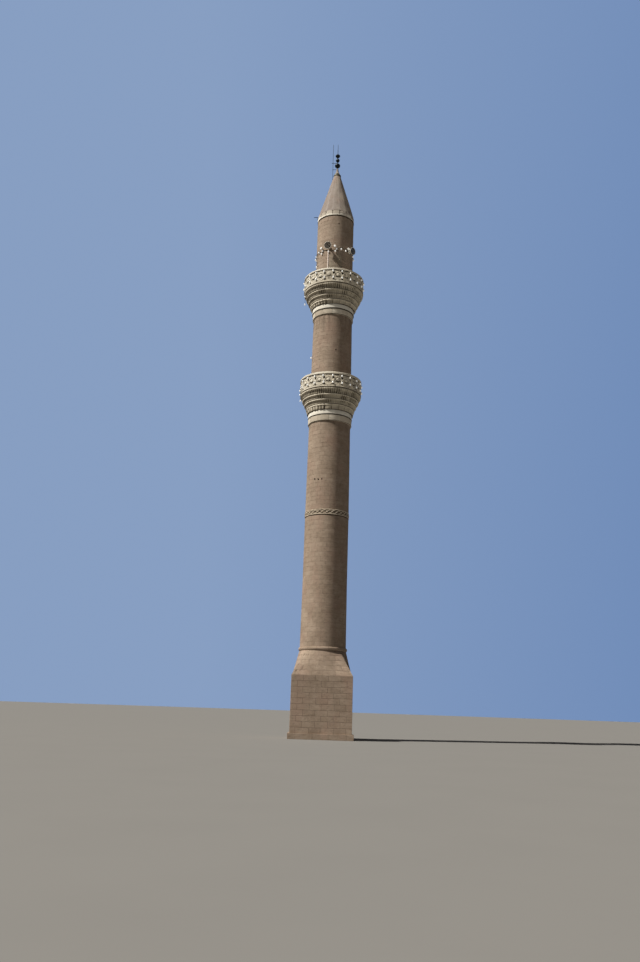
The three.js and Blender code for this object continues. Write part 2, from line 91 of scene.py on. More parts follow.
# Masonry
JOINT = 0.007
JOINT_DEPTH = 0.006
STONE_DEPTH = 0.05
CHAMFER = 0.003
PROUD = 0.0015
ARC_STEP = math.radians(5)
COURSE = 0.262
STONE_LENGTH = 0.56
SQUARED_COURSE = 0.3
SQUARED_LENGTH = 0.62
CORE_STEP = 0.6
CORE_SIDES = 72
MORTAR_TONE = -1.0
CREST = 2.0

# Balconies: the post nearest the front, and the radii of the coves' three edges
BAYS = 21
LUMPS_PER_BAY = 2
RIBS_PER_BAY = 4
BAY = TAU / BAYS
POST_SIDE = {"lower": side(3.5), "upper": side(-1.7)}
BALCONY_BORE = {"lower": LOWER_BORE, "upper": UPPER_BORE}
COVE_RADII = {"lower": (1.440, 1.560, 1.690), "upper": (1.425, 1.550, 1.685)}
COVE_CREST = {"lower": 1.7, "upper": 1.1}
COVE_STEP_BACK = 0.014
PANEL_OUTER = 1.818
SHEET_THICKNESS = 0.060
BACKING_INNER = 1.720
RAIL_INNER = 1.706
GROOVE_UNDER_RAIL = 0.055
FILLET = 0.055
TOP_FILLET = 0.075
GROOVE = 0.025
GROOVE_HEIGHT = 0.028
SOFFIT = 0.035
HOLLOW_BEND = math.pi / 2 * 0.93

# Cap and finial
CAP_STONES = 16
CAP_JOINT = side(-11.7)
CONE_HEAD = 0.222
ROD_X = -0.300

# Fittings on the drum
HORN_TILT = 8
HORN_FOOT = 1.178
LAMP_FOOT = 1.183
LAMP_HEIGHT = 29.19
ARM_FOOT = 1.137
BULB_REACH = 1.190
STRAND_REACH = 1.250
BULB_RISE = 0.062
HOOK_RISE = 0.03
SAG = 0.10


def polar(radius, angle, height):
    return (radius * math.cos(angle), radius * math.sin(angle), height)


def turns(count):
    return [TAU * k / count for k in range(count)]


def arc(start, end, steps):
    """Angles from start to end, and whether they close a whole turn, which has no last angle."""
    whole = abs(end - start - TAU) < 1e-6
    return [start + (end - start) * i / steps for i in range(steps if whole else steps + 1)], whole


def extent(node):
    """A CAD node's lowest and highest point and its reach from the tower's axis."""
    low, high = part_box(node)
    return low.z, high.z, max(high.x, -low.x)


def rows_at(radius, height, rows):
    """Points of an outline, given as steps out and up from one place."""
    return [(radius + out, height + up, *rest) for out, up, *rest in rows]


def whole_points(profile):
    """Points as (radius, height, relief weight, tone lift of the face that starts there)."""
    return [(*point, 0.0, 0.0)[:4] for point in profile]


def box_profile(inner, outer, bottom, top):
    return [(inner, bottom), (outer, bottom), (outer, top), (inner, top)]


def placed(name, data):
    holder = bpy.data.objects.new(name, data)
    bpy.context.scene.collection.objects.link(holder)
    return holder


class Builder:
    """Gathers closed shells, each face with a tone, and makes one object of them."""

    def __init__(self):
        self.points = []
        self.faces = []
        self.tones = []

    def add(self, points, faces, tone=0.5):
        start = len(self.points)
        self.points.extend(points)
        self.faces.extend([tuple(start + i for i in face) for face in faces])
        self.tones.extend(tone if isinstance(tone, list) else [tone] * len(faces))

    def tube_grid(self, rings, tone=0.5, closed_ring=False, lifts=None, shades=None):
        """Joins rings of points into a shell; lifts tint sides of the loop, and shades whole steps."""
        size = len(rings[0])
        last = len(rings) - 1
        faces = []
        tones = []
        for i in range(last + closed_ring):
            a, b = i * size, (i + 1) % len(rings) * size
            shade = shades[i] if shades else 0.0
            for k in range(size):
                n = (k + 1) % size
                faces.append((a + k, a + n, b + n, b + k))
                tones.append(tone + shade + (lifts[k] if lifts else 0.0))
        if not closed_ring:
            faces += [tuple(range(size)), tuple(last * size + k for k in reversed(range(size)))]
            tones += [tone, tone]
        self.add([point for ring in rings for point in ring], faces, tones)

    def sector(self, profile, start, end, steps, relief=None, tone=0.5, shade=None):
        """Turns a closed loop of profile points from one angle to another."""
        profile = whole_points(profile)
        angles, whole = arc(start, end, steps)
        rings = []
        for angle in angles:
            out = relief(angle) if relief else 0.0
            ring = [polar(radius + out * weight, angle, height) for radius, height, weight, _ in profile]
            rings.append(ring)
        lifts = [point[3] for point in profile]
        shades = [shade(start + (end - start) * (i + 0.5) / steps) for i in range(steps)] if shade else None
        self.tube_grid(rings, tone, whole, lifts, shades)

    def make(self, name, material, slot, nodes=(), sharp=32):
        mesh = bpy.data.meshes.new(name)
        mesh.from_pydata(self.points, [], self.faces)
        tone = mesh.attributes.new("tone", "FLOAT", "FACE")
        tone.data.foreach_set("value", self.tones)
        work = bmesh.new()
        work.from_mesh(mesh)
        bmesh.ops.recalc_face_normals(work, faces=work.faces)
        work.to_mesh(mesh)
        work.free()
        mesh.shade_smooth()
        mesh.set_sharp_from_angle(angle=math.radians(sharp))
        mesh.materials.append(material)
        piece = placed(name, mesh)
        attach(piece, BODY)
        if nodes:
            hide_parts(*nodes)


# Materials

MOSS = (0.155, 0.142, 0.085)
STAIN = (0.105, 0.078, 0.056)


class Look:
    """A material with its node tree, its shader and the object's own coordinates."""

    def __init__(self, name):
        self.material = bpy.data.materials.new(name)
        self.material.use_nodes = True
        self.tree = self.material.node_tree
        self.shader = self.tree.nodes["Principled BSDF"]
        self.place = self.node("TexCoord", {}).outputs["Object"]

    def feed(self, value, socket):
        """Links another node's output to a socket, or sets a number, a vector or a colour on it."""
        if isinstance(value, bpy.types.NodeSocket):
            self.tree.links.new(value, socket)
        else:
            socket.default_value = (*value, 1.0) if socket.type == "RGBA" else value

    def node(self, kind, inputs, **settings):
        node = self.tree.nodes.new("ShaderNode" + kind)
        for setting, value in settings.items():
            setattr(node, setting, value)
        for name, value in inputs.items():
            self.feed(value, node.inputs[name])
        return node

    def noise(self, scale, detail=4.0, stretch=(1, 1, 1), roughness=0.55):
        place = self.node("Mapping", {"Vector": self.place, "Scale": stretch}).outputs["Vector"]
        inputs = {"Vector": place, "Scale": scale, "Detail": detail, "Roughness": roughness}
        return self.node("TexNoise", inputs).outputs["Fac"]

    def axis(self, name):
        return self.node("SeparateXYZ", {"Vector": self.place}).outputs[name]

    def ramp(self, value, low, high):
        """Stretches the part of a value between low and high to the whole range from 0 to 1."""
        return self.node("MapRange", {"Value": value, "From Min": low, "From Max": high}).outputs["Result"]

    def mix(self, factor, first, second):
        inputs = {"Factor": factor, "A": first, "B": second}
        return self.node("Mix", inputs, data_type="RGBA").outputs["Result"]

    def maths(self, operation, first, second):
        node = self.node("Math", {}, operation=operation)
        for socket, value in zip(node.inputs, (first, second)):
            self.feed(value, socket)
        return node.outputs["Value"]

    def times(self, first, second):
        return self.maths("MULTIPLY", first, second)

    def spread(self, base, colour, texture, low, high, amount):
        """Lays a colour over the base where a texture is high."""
        return self.mix(self.times(self.ramp(texture, low, high), amount), base, colour)

    def finish(self, shader_inputs, heights, strength, distance):
        """Sets the shader and its bump, and gives the material."""
        inputs = {"Height": heights, "Strength": strength, "Distance": distance}
        normal = self.node("Bump", inputs).outputs["Normal"]
        for name, value in {**shader_inputs, "Normal": normal}.items():
            self.feed(value, self.shader.inputs[name])
        return self.material


def stone(name, pale, deep, mortar_and_groove_shade, streak, streak_amount, tone_share=0.25, moss=0.0, stains=(),
          crest=None, warm=None, speckle=0.0, painted_light_and_tint=None):
    """Dressed stone: patches, mottling, bed dashes, grain, rain streaks; crest is for tones above one. Tones
    below minus a half take the mortar colour, in the joints and also in the grooves under members, where it
    is painted shade; the tint paints light onto the side turned from the sun, and on the drum lays a greyish
    olive patch.
    """
    look = Look(name)
    tone = look.node("Attribute", {}, attribute_name="tone").outputs["Fac"]
    patches = look.noise(0.9, 5.0)
    mottle = look.noise(3.4, 6.0, (1, 1, 1.7), 0.6)
    grain = look.noise(22.0, 6.0, roughness=0.65)
    blend = look.maths("ADD", look.times(patches, 0.5), look.times(mottle, 0.5))
    blend = look.maths("ADD", blend, look.times(look.maths("SUBTRACT", tone, 0.5), tone_share))
    base = look.mix(look.ramp(blend, 0.36, 0.64), deep, pale)
    base = look.spread(base, deep, grain, 0.4, 0.8, 0.30)
    if warm:
        base = look.spread(base, warm, look.noise(1.1, 4.0, (1, 1, 0.7)), 0.48, 0.66, 0.45)
    if speckle:
        base = look.spread(base, mortar_and_groove_shade, look.noise(7.5, 3.0, (1, 1, 1.5), 0.6), 0.54, 0.70, speckle)
        base = look.spread(base, streak, look.noise(6.3, 3.0, (1.2, 1, 1.4), 0.6), 0.56, 0.72, speckle)
    base = look.spread(base, mortar_and_groove_shade, look.noise(2.6, 5.0, (1, 1, 7.0), 0.6), 0.58, 0.72, 0.55)
    base = look.spread(base, streak, look.noise(3.2, 4.0, (1, 1, 0.055)), 0.5, 0.78, streak_amount)
    if moss:
        cover = look.ramp(look.noise(1.6, 6.0, roughness=0.62), 0.40, 0.62)
        cover = look.times(cover, look.ramp(look.axis("X"), -1.6, 1.5))
        base = look.mix(look.times(cover, moss), base, MOSS)
    if crest:
        base = look.mix(look.ramp(tone, 1.0, 2.0), base, crest)
    for low, high, amount in stains:
        drip = look.ramp(look.noise(4.5, 5.0, (1, 1, 0.12), 0.62), 0.42, 0.62)
        near = look.times(drip, look.ramp(look.axis("Z"), low, high))
        cover = look.times(near, look.maths("LESS_THAN", look.axis("Z"), high))
        base = look.mix(look.times(cover, amount), base, STAIN)
    # A colour laid over a region bounded along the axes: painted light that lifts the side turned from the
    # sun, except on the drum, where it is a greyish olive patch.
    if painted_light_and_tint:
        colour, amount, *edges = painted_light_and_tint
        cover = look.times(look.ramp(look.noise(2.4, 5.0, (1, 1, 0.3), 0.6), 0.34, 0.60), amount)
        for axis, start, end in edges:
            cover = look.times(cover, look.ramp(look.axis(axis), start, end))
        base = look.mix(cover, base, colour)
    # The mortar colour fills the joints, and where the members' grooves take it, it is painted shade.
    base = look.mix(look.maths("LESS_THAN", tone, -0.5), base, mortar_and_groove_shade)
    pits = look.maths("ADD", grain, look.noise(60.0, 3.0))
    return look.finish({"Base Color": base, "Roughness": 0.92, "Specular IOR Level": 0.2}, pits, 0.35, 0.01)


def plain(name, colour, spot_colour, roughness, metallic=0.0, scale=30.0, spot_amount=0.5, glow=0.0):
    """A paint, metal or plastic with soft spots of a second colour."""
    look = Look(name)
    spots = look.ramp(look.noise(scale, 5.0), 0.42, 0.72)
    return look.finish({
        "Base Color": look.mix(look.times(spots, spot_amount), colour, spot_colour),
        "Roughness": roughness, "Metallic": metallic, "Emission Color": colour, "Emission Strength": glow,
    }, spots, 0.15, 0.003)


SHAFT_STONE = stone(
    "shaft_ashlar", (0.422, 0.330, 0.252), (0.272, 0.204, 0.148), (0.185, 0.136, 0.098),
    (0.36, 0.285, 0.225), 0.30, 0.10, stains=((23.4, 24.64, 0.75), (17.2, 17.83, 0.35)),
    warm=(0.385, 0.262, 0.200), speckle=0.42,
)
# The drum's tint lays a greyish olive patch on its front, below the front horn.
DRUM_STONE = stone(
    "drum_ashlar", (0.445, 0.350, 0.268), (0.305, 0.232, 0.172), (0.20, 0.148, 0.108),
    (0.40, 0.32, 0.26), 0.30, 0.10, stains=((28.0, 28.98, 0.5),), warm=(0.41, 0.285, 0.222), speckle=0.45,
    painted_light_and_tint=((0.300, 0.268, 0.200), 0.75, ("X", -0.40, -0.24), ("X", 0.50, 0.30), ("Y", 0.0, -0.3),
            ("Z", 26.3, 26.6), ("Z", 29.15, 28.6)),
)
# The band's near-black mortar colour also paints shade into the grooves of its cut-back ground.
CARVED_BAND_STONE = stone(
    "carved_band_stone", (0.52, 0.425, 0.33), (0.34, 0.265, 0.195), (0.075, 0.055, 0.038),
    (0.30, 0.235, 0.175), 0.2, 0.4, crest=(0.86, 0.74, 0.58),
)
# The parapet's tint is painted light, paler towards +X, the side turned from the sun; its mortar colour also
# paints shade into the groove under the slab's edge.
PARAPET_STONE = stone(
    "parapet_limestone", (0.58, 0.530, 0.435), (0.40, 0.348, 0.272), (0.26, 0.215, 0.155),
    (0.33, 0.285, 0.215), 0.35, 0.4, crest=(0.90, 0.85, 0.73), speckle=0.25,
    painted_light_and_tint=((0.90, 0.80, 0.62), 0.9, ("X", -0.9, 0.7)),
)
# The coves' tint is painted light, paler towards +X, the side turned from the sun; their dark mortar colour
# also paints shade into the grooves under the members.
COVE_STONE = stone(
    "cove_limestone", (0.49, 0.430, 0.337), (0.32, 0.278, 0.210), (0.095, 0.078, 0.054),
    (0.24, 0.21, 0.16), 0.4, 0.4, moss=0.35, crest=(0.88, 0.80, 0.65),
    painted_light_and_tint=((0.68, 0.610, 0.470), 0.70, ("X", -0.6, 0.7)),
)
# The collar's dark mortar colour also paints shade into the recess under it.
COLLAR_STONE = stone(
    "collar_limestone", (0.70, 0.62, 0.50), (0.50, 0.43, 0.34), (0.14, 0.115, 0.082),
    (0.34, 0.29, 0.22), 0.4, 0.5, crest=(0.86, 0.79, 0.67),
)
# The pale band's near-black mortar colour also paints shade into the groove under it.
PALE_STONE = stone(
    "pale_band_stone", (0.93, 0.89, 0.79), (0.84, 0.79, 0.68), (0.085, 0.068, 0.048),
    (0.66, 0.60, 0.50), 0.25, 0.15,
)
# The cone's tint is painted light, paler towards +X, the side turned from the sun.
CAP_STONE = stone(
    "cap_stone", (0.345, 0.292, 0.262), (0.255, 0.208, 0.176), (0.155, 0.125, 0.10),
    (0.42, 0.375, 0.34), 0.6, warm=(0.345, 0.232, 0.17), speckle=0.3, crest=(0.50, 0.45, 0.415),
    painted_light_and_tint=((0.49, 0.43, 0.355), 0.85, ("X", -0.4, 0.5)),
)
# The cap ring's tint is painted light, paler towards +X, the side turned from the sun; its dark mortar
# colour also paints shade into the groove under the ring.
CAP_RING_STONE = stone(
    "cap_ring_stone", (0.54, 0.475, 0.39), (0.37, 0.315, 0.255), (0.13, 0.10, 0.07),
    (0.62, 0.57, 0.48), 0.5, 0.4, crest=(0.88, 0.82, 0.70),
    painted_light_and_tint=((0.80, 0.70, 0.60), 0.55, ("X", 0.0, 0.6)),
)
DARK_METAL = plain("finial_metal", (0.018, 0.024, 0.028), (0.045, 0.05, 0.045), 0.42, 0.85, 18.0)
HORN_PAINT = plain("horn_paint", (0.72, 0.69, 0.61), (0.52, 0.48, 0.39), 0.5, 0.0, 20.0)
# Colours of the sheets inside the horns' throats: painted shade, near black in the front horn and slate in
# the right one.
PAINTED_THROAT_SHADE = plain("horn_painted_throat_shade", (0.135, 0.108, 0.080), (0.075, 0.058, 0.042), 0.6)
HORN_SHADE = plain("horn_shade", (0.27, 0.28, 0.32), (0.19, 0.20, 0.23), 0.6)
OLIVE_METAL = plain("collar_metal", (0.115, 0.105, 0.068), (0.055, 0.055, 0.045), 0.6, 0.3, 12.0)
CABLE_SHEATH = plain("cable_sheath", (0.03, 0.028, 0.025), (0.06, 0.055, 0.045), 0.6)
GARLAND_SHEATH = plain("garland_sheath", (0.095, 0.082, 0.055), (0.05, 0.044, 0.034), 0.7)
WHITE_PLASTIC = plain("white_plastic", (0.74, 0.71, 0.65), (0.58, 0.54, 0.47), 0.5)
TRUNKING = plain("trunking_plastic", (0.60, 0.50, 0.43), (0.50, 0.41, 0.34), 0.6)
BULB_WHITE = plain("bulb_white", (0.93, 0.93, 0.90), (0.88, 0.87, 0.83), 0.3, glow=0.28)
# Near-black colour of the sheet behind the parapet's recesses: painted shade.
PAINTED_RECESS_SHADE = plain("painted_recess_shade", (0.030, 0.025, 0.018), (0.055, 0.046, 0.032), 0.95)
FLOOR_PAINT = plain("floor_paint", (0.235, 0.226, 0.212), (0.215, 0.207, 0.195), 0.9, 0.0, 0.4, 0.3)


# Masonry

def without(rectangle, holes):
    """Splits a rectangle (left, right, bottom, top) so that none of it lies in a hole."""
    pieces = [rectangle]
    for left, right, bottom, top in holes:
        rest = []
        for a, b, c, d in pieces:
            if right <= a or left >= b or top <= c or bottom >= d:
                rest.append((a, b, c, d))
                continue
            if left > a:
                rest.append((a, left, c, d))
            if right < b:
                rest.append((right, b, c, d))
            if bottom > c:
                rest.append((max(a, left), min(b, right), c, bottom))
            if top < d:
                rest.append((max(a, left), min(b, right), top, d))
        pieces = rest
    return pieces


def curved_stone(builder, start, end, bottom, top, radius, proud, tone):
    """One stone with chamfered edges, its face following radius(angle, height)."""
    edge = CHAMFER / radius((start + end) / 2, bottom)
    first = math.ceil((start + edge * 1.5) / ARC_STEP)
    last = math.floor((end - edge * 1.5) / ARC_STEP)
    angles = [start, start + edge, *[i * ARC_STEP for i in range(first, last + 1)], end - edge, end]
    heights = [bottom, bottom + CHAMFER, top - CHAMFER, top]
    columns = len(angles)
    points = []
    for height in heights:
        for angle in angles:
            border = height in (bottom, top) or angle in (start, end)
            out = proud - (CHAMFER if border else 0.0)
            points.append(polar(radius(angle, height) + out, angle, height))
    faces = []
    for row in (0, columns, 2 * columns):
        for a in range(row, row + columns - 1):
            faces.append((a, a + 1, a + columns + 1, a + columns))
    low = list(range(columns))
    high = [3 * columns + i for i in low]
    left = [columns, 2 * columns]
    right = [2 * columns - 1, 3 * columns - 1]
    border = [*low, *right, *reversed(high), *reversed(left)]
    back = {}
    for index in border:
        x, y, z = points[index]
        reach = math.hypot(x, y)
        scale = (reach - STONE_DEPTH) / reach
        back[index] = len(points)
        points.append((x * scale, y * scale, z))
    for index, following in zip(border, [*border[1:], border[0]]):
        faces.append((following, index, back[index], back[following]))
    for i in range(columns - 1):
        before = left if i == 0 else []
        after = right[::-1] if i == columns - 2 else []
        corners = [low[i], *before, high[i], high[i + 1], *after, low[i + 1]]
        faces.append(tuple(back[k] for k in corners))
    builder.add(points, faces, tone)


def courses(bottom, top, height, rng):
    """Heights of the bed joints, each course a little taller or lower than the next."""
    count = max(1, round((top - bottom) / height))
    shares = [1 + rng.uniform(-0.07, 0.07) for _ in range(count)]
    scale = (top - bottom) / sum(shares)
    levels = [bottom]
    for share in shares:
        levels.append(levels[-1] + share * scale)
    levels[-1] = top
    return levels


def round_masonry(builder, bottom, top, radius, bore, seed, holes, course=COURSE, length=STONE_LENGTH):
    """Stones in courses round a wall, over a core that is the mortar; holes go right through."""
    rng = random.Random(seed)
    levels = courses(bottom, top, course, rng)
    spans = [(a + shift, b + shift, c, d) for shift in (0, TAU, -TAU) for a, b, c, d in holes]
    turn = rng.random()
    for low, high in zip(levels, levels[1:]):
        middle = (low + high) / 2
        count = max(6, round(TAU * radius(0.0, middle) / length))
        turn += 0.5 + rng.uniform(-0.12, 0.12)
        joints = [(i + turn + rng.uniform(-0.13, 0.13)) * TAU / count for i in range(count)]
        half = JOINT / 2 / radius(0.0, middle)
        for start, end in zip(joints, [*joints[1:], joints[0] + TAU]):
            tone = rng.random()
            proud = rng.uniform(-PROUD, PROUD)
            whole = (start + half, end - half, low + JOINT / 2, high - JOINT / 2)
            for a, b, c, d in without(whole, spans):
                if b - a > half * 3 and d - c > CHAMFER * 3:
                    curved_stone(builder, a, b, c, d, radius, proud, tone)
    core_wall(builder, bottom, top, radius, bore, holes)


def core_wall(builder, bottom, top, radius, bore, holes):
    """The wall behind the stones, in rings that stop at each hole."""
    count = math.ceil((top - bottom) / CORE_STEP)
    breaks = {bottom + (top - bottom) * i / count for i in range(count)}
    breaks = sorted({*breaks, top, *[h for hole in holes for h in hole[2:] if bottom < h < top]})
    for low, high in zip(breaks, breaks[1:]):
        gaps = sorted((a, b) for a, b, c, d in holes if c < high - 1e-6 and d > low + 1e-6)
        spans = [(0.0, TAU)]
        if gaps:
            spans = [(a, b) for (_, a), (b, _) in zip(gaps, [*gaps[1:], (gaps[0][0] + TAU, 0.0)])]
        for start, end in spans:
            angles, whole = arc(start, end, max(2, math.ceil((end - start) / TAU * CORE_SIDES)))
            builder.tube_grid([
                [polar(bore, angle, low), polar(radius(angle, low) - JOINT_DEPTH, angle, low),
                 polar(radius(angle, high) - JOINT_DEPTH, angle, high), polar(bore, angle, high)]
                for angle in angles
            ], MORTAR_TONE, whole)


def taper(node, foot, head):
    bottom, top, _ = extent(node)
    return lambda angle, height: foot + (head - foot) * (height - bottom) / (top - bottom)


def chamfered_block(builder, low, high, tone, chamfer=0.01):
    """A squared block with its edges taken off: three points at each of its eight corners."""
    points = []
    for axis in range(3):
        for corner in range(8):
            at = []
            for k in range(3):
                inset = 0.0 if k == axis else chamfer
                at.append(high[k] - inset if corner >> k & 1 else low[k] + inset)
            points.append(tuple(at))
    square = ((0, 0), (1, 0), (1, 1), (0, 1))
    flats = []
    edges = []
    for axis in range(3):
        u, v = [k for k in range(3) if k != axis]
        far = 1 << axis
        for base in (0, far):
            flats.append(tuple(axis * 8 + (base | a << u | b << v) for a, b in square))
        for a, b in sorted(square):
            at = a << u | b << v
            edges.append((u * 8 + at, v * 8 + at, v * 8 + (at | far), u * 8 + (at | far)))
    tips = [(corner, 8 + corner, 16 + corner) for corner in range(8)]
    builder.add(points, [*flats, *edges, *tips], tone)


def squared_wall(builder, low, high, along, seed, length=SQUARED_LENGTH):
    """Through-stones in courses along one axis, over a core a little inside their faces."""
    rng = random.Random(seed)
    levels = courses(low[2], high[2], SQUARED_COURSE, rng)
    reach = high[along] - low[along]
    count = max(1, round(reach / length))
    turn = 0.0
    for bottom, top in zip(levels, levels[1:]):
        turn = 0.5 - turn
        cuts = [low[along], high[along]]
        for i in range(1, count + (1 if turn else 0)):
            cuts.append(low[along] + reach * ((i - turn) / count) + rng.uniform(-0.05, 0.05) * length)
        cuts.sort()
        for start, end in zip(cuts, cuts[1:]):
            block_low, block_high = list(low), list(high)
            block_low[along] = start + (JOINT / 2 if start > cuts[0] else 0.0)
            block_high[along] = end - (JOINT / 2 if end < cuts[-1] else 0.0)
            block_low[2] = bottom + (JOINT / 2 if bottom > low[2] else 0.0)
            block_high[2] = top - (JOINT / 2 if top < high[2] else 0.0)
            chamfered_block(builder, block_low, block_high, rng.random())
    core_low = [v + JOINT_DEPTH for v in low]
    core_high = [v - JOINT_DEPTH for v in high]
    chamfered_block(builder, core_low, core_high, MORTAR_TONE, 0.002)


def stone_ring(builder, profile, count, steps, relief=None, seed=0, gap=0.006, first=0.0, tones=(),
               shade=None):
    """Carved stones that turn one profile between two joints; tones are for the first stones."""
    rng = random.Random(seed)
    half = gap / 2 / max(point[0] for point in profile)
    for i in range(count):
        tone = rng.random()
        tone = tones[i] if i < len(tones) else tone
        start, end = first + i * TAU / count, first + (i + 1) * TAU / count
        builder.sector(profile, start + half, end - half, steps, relief, tone, shade)


def closed_profile(bore, face):
    """A loop that runs up the outer face and back down the bore; only the face carries relief."""
    return [(bore, face[0][1]), *face, (bore, face[-1][1])]


def core_ring(builder, bore, bottom, top, outer):
    """The bed that shows dark in the joints between a course's stones."""
    inset = 0.004
    builder.sector(box_profile(bore + inset, outer, bottom + inset, top - inset), 0.0, TAU, CORE_SIDES,
                   tone=MORTAR_TONE)


def carved_course(builder, bore, face, bed, count, steps, **carving):
    """A ring of carved stones over its bed."""
    stone_ring(builder, closed_profile(bore, face), count, steps, **carving)
    core_ring(builder, bore, face[0][1], face[-1][1], bed)


# Base

def make_base():
    walls = {
        "pedestal_front_wall": 0, "pedestal_left_wall": 1, "pedestal_right_wall": 1,
        "pedestal_back_wall_left": 0, "pedestal_back_wall_right": 0, "pedestal_door_lintel": 0,
    }
    for number, (node, along) in enumerate(walls.items()):
        low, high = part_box(node)
        builder = Builder()
        if node == "pedestal_door_lintel":
            chamfered_block(builder, low, (high.x, high.y, low.z + 0.42), 0.8, 0.012)
            low = (low.x, low.y, low.z + 0.43)
        squared_wall(builder, low, high, along, 40 + number)
        builder.make(node + "_masonry", SHAFT_STONE, "shaft_stone", [node])
    low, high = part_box("plinth_course")
    builder = Builder()
    strips = 5
    width = (high.y - low.y) / strips
    for i in range(strips):
        strip_low = (low.x, low.y + i * width, low.z)
        strip_high = (high.x, low.y + (i + 1) * width, high.z)
        squared_wall(builder, strip_low, strip_high, 0, 70 + i, 0.8)
    builder.make("plinth_course_masonry", SHAFT_STONE, "shaft_stone", ["plinth_course"])


def make_transition():
    """From the pedestal's square to the round shaft."""
    bottom, top, half = extent("transition")

    def radius(angle, height):
        square = half / max(abs(math.cos(angle)), abs(math.sin(angle)))
        return square + (TRANSITION_HEAD - square) * ((height - bottom) / (top - bottom))

    shaft_part("transition", radius, LOWER_BORE, 11, course=0.27, length=0.62)


def make_base_ring():
    bottom, top, reach = extent("base_ring")
    inner = 1.29
    face = []
    steps = 10
    for i in range(steps + 1):
        angle = math.pi * i / steps
        height = (bottom + top) / 2 - math.cos(angle) * (top - bottom) / 2
        face.append((inner + math.sin(angle) * (reach - inner), height))
    builder = Builder()
    carved_course(builder, LOWER_BORE, face, inner - 0.02, 14, 6, seed=3)
    builder.make("base_ring_moulding", SHAFT_STONE, "shaft_stone", ["base_ring"])


# Shaft

def hole(at, width, bottom, top, radius):
    half = width / 2 / radius
    return (at - half, at + half, bottom, top)


def doorway(node, radius):
    bottom, _, _ = extent(node)
    return hole(DOOR_SIDE, DOOR_WIDTH, bottom, bottom + DOOR_HEIGHT, radius)


def shaft_part(node, radius, bore, seed, holes=(), material=SHAFT_STONE, bed=0.0, **sizes):
    """One stretch of the round wall, with a bed of mortar at its head where it has one."""
    bottom, top, _ = extent(node)
    builder = Builder()
    round_masonry(builder, bottom, top - bed, radius, bore, seed, sorted(holes), **sizes)
    if bed:
        core_ring(builder, bore, top - bed - 0.004, top, radius(0.0, top) - 0.038)
    builder.make(node + "_masonry", material, "shaft_stone", [node])


def make_shaft():
    """The four round walls, with three sockets, two vents and the balconies' doors."""
    bottom, _, _ = extent("lower_shaft")

    def flared(angle, height):
        return LOWER_WALL + max(0.0, FLARE_TOP - height) / (FLARE_TOP - bottom) * FLARE

    middle = taper("middle_shaft", LOWER_WALL, MIDDLE_HEAD)
    upper = taper("upper_shaft", UPPER_FOOT, UPPER_HEAD)
    drum = taper("drum", DRUM_WALL, DRUM_WALL)
    sockets = [
        hole(side(degrees), width, low, low + 0.085, 1.26)
        for degrees, width, low in ((-38, 0.10, 14.28), (-27, 0.085, 14.24), (-17, 0.07, 14.25))
    ]
    upper_holes = [doorway("upper_shaft", 1.2), hole(side(11), 0.08, 22.28, 22.36, 1.2)]
    drum_holes = [doorway("drum", 1.13), hole(side(10), 0.085, 30.79, 30.88, 1.13)]
    shaft_part("lower_shaft", flared, LOWER_BORE, 21)
    shaft_part("middle_shaft", middle, LOWER_BORE, 22, sockets)
    shaft_part("upper_shaft", upper, UPPER_BORE, 23, upper_holes)
    shaft_part("drum", drum, DRUM_BORE, 24, drum_holes, DRUM_STONE, 0.03)


def make_carved_band():
    """Two plaited strands between cords, on a ground that is cut back, over a groove; the groove and a strip
    under the upper cord are painted dark as shade.
    """
    bottom, top, reach = extent("carved_band")
    ground = reach - 0.040
    face = [
        *rows_at(ground, bottom, [(-0.034, 0, 0, -3.0), (-0.034, 0.052, 0, -3.0), (-0.002, 0.056, 0, -2.4)]),
        *rows_at(ground, top, [(-0.002, -0.045, 0, -1.2), (0, -0.03), (0, -0.01), (-0.01, 0)]),
    ]
    builder = Builder()
    carved_course(builder, LOWER_BORE, face, ground - 0.04, 14, 6, seed=5)
    cord_ring(builder, ground + 0.006, bottom + 0.076, 0.024)
    cord_ring(builder, ground + 0.006, top - 0.026, 0.020)
    middle = (bottom + top) / 2 + 0.028
    waves = 14
    for phase in (0.0, math.pi):
        strand(builder, ground + 0.008, middle, 0.080, waves, phase, 0.017)
    for i in range(waves * 2):
        boss(builder, ground, (i + 0.5) * TAU / waves / 2, middle, 0.022, 0.014, 10, 0.4)
    builder.make("carved_band_plait", CARVED_BAND_STONE, "shaft_stone", ["carved_band"])


def cord_ring(builder, radius, height, size):
    rings = [
        [polar(radius + size * math.cos(t), angle, height + size * math.sin(t)) for t in turns(8)]
        for angle in turns(96)
    ]
    builder.tube_grid(rings, 1.5, True)


def strand(builder, radius, height, swing, waves, phase, size):
    """A strand that waves up and down round the wall, and out where it crosses over the other; its rising
    stretches are painted lighter and its falling ones darker, as light and shade.
    """
    rings = []
    shades = []
    for angle in turns(waves * 16):
        wave = waves * angle + phase
        shades.append(0.5 * math.cos(wave))
        tilt = math.atan(swing * waves * math.cos(wave) / radius)
        ring = []
        for turn in turns(8):
            out, across = 0.010 * math.cos(wave) + size * math.cos(turn) * 0.8, size * math.sin(turn)
            rise = swing * math.sin(wave) + across * math.cos(tilt)
            ring.append(polar(radius + out, angle - across * math.sin(tilt) / radius, height + rise))
        rings.append(ring)
    builder.tube_grid(rings, 1.6, True, shades=shades)


def boss(builder, radius, angle, height, size, rise, sides, tone):
    """A low round button on a curved wall, with its foot sunk in."""
    rings = []
    for share, sink in ((0.0, 0.004), (0.5, 0.0), (0.82, 0.0)):
        turn = share * math.pi / 2
        wide = size * math.cos(turn)
        out = radius - sink + rise * math.sin(turn)
        rings.append([
            polar(out, angle + wide * math.cos(t) / radius, height + wide * math.sin(t))
            for t in turns(sides)
        ])
    builder.tube_grid(rings, tone)


# Balconies

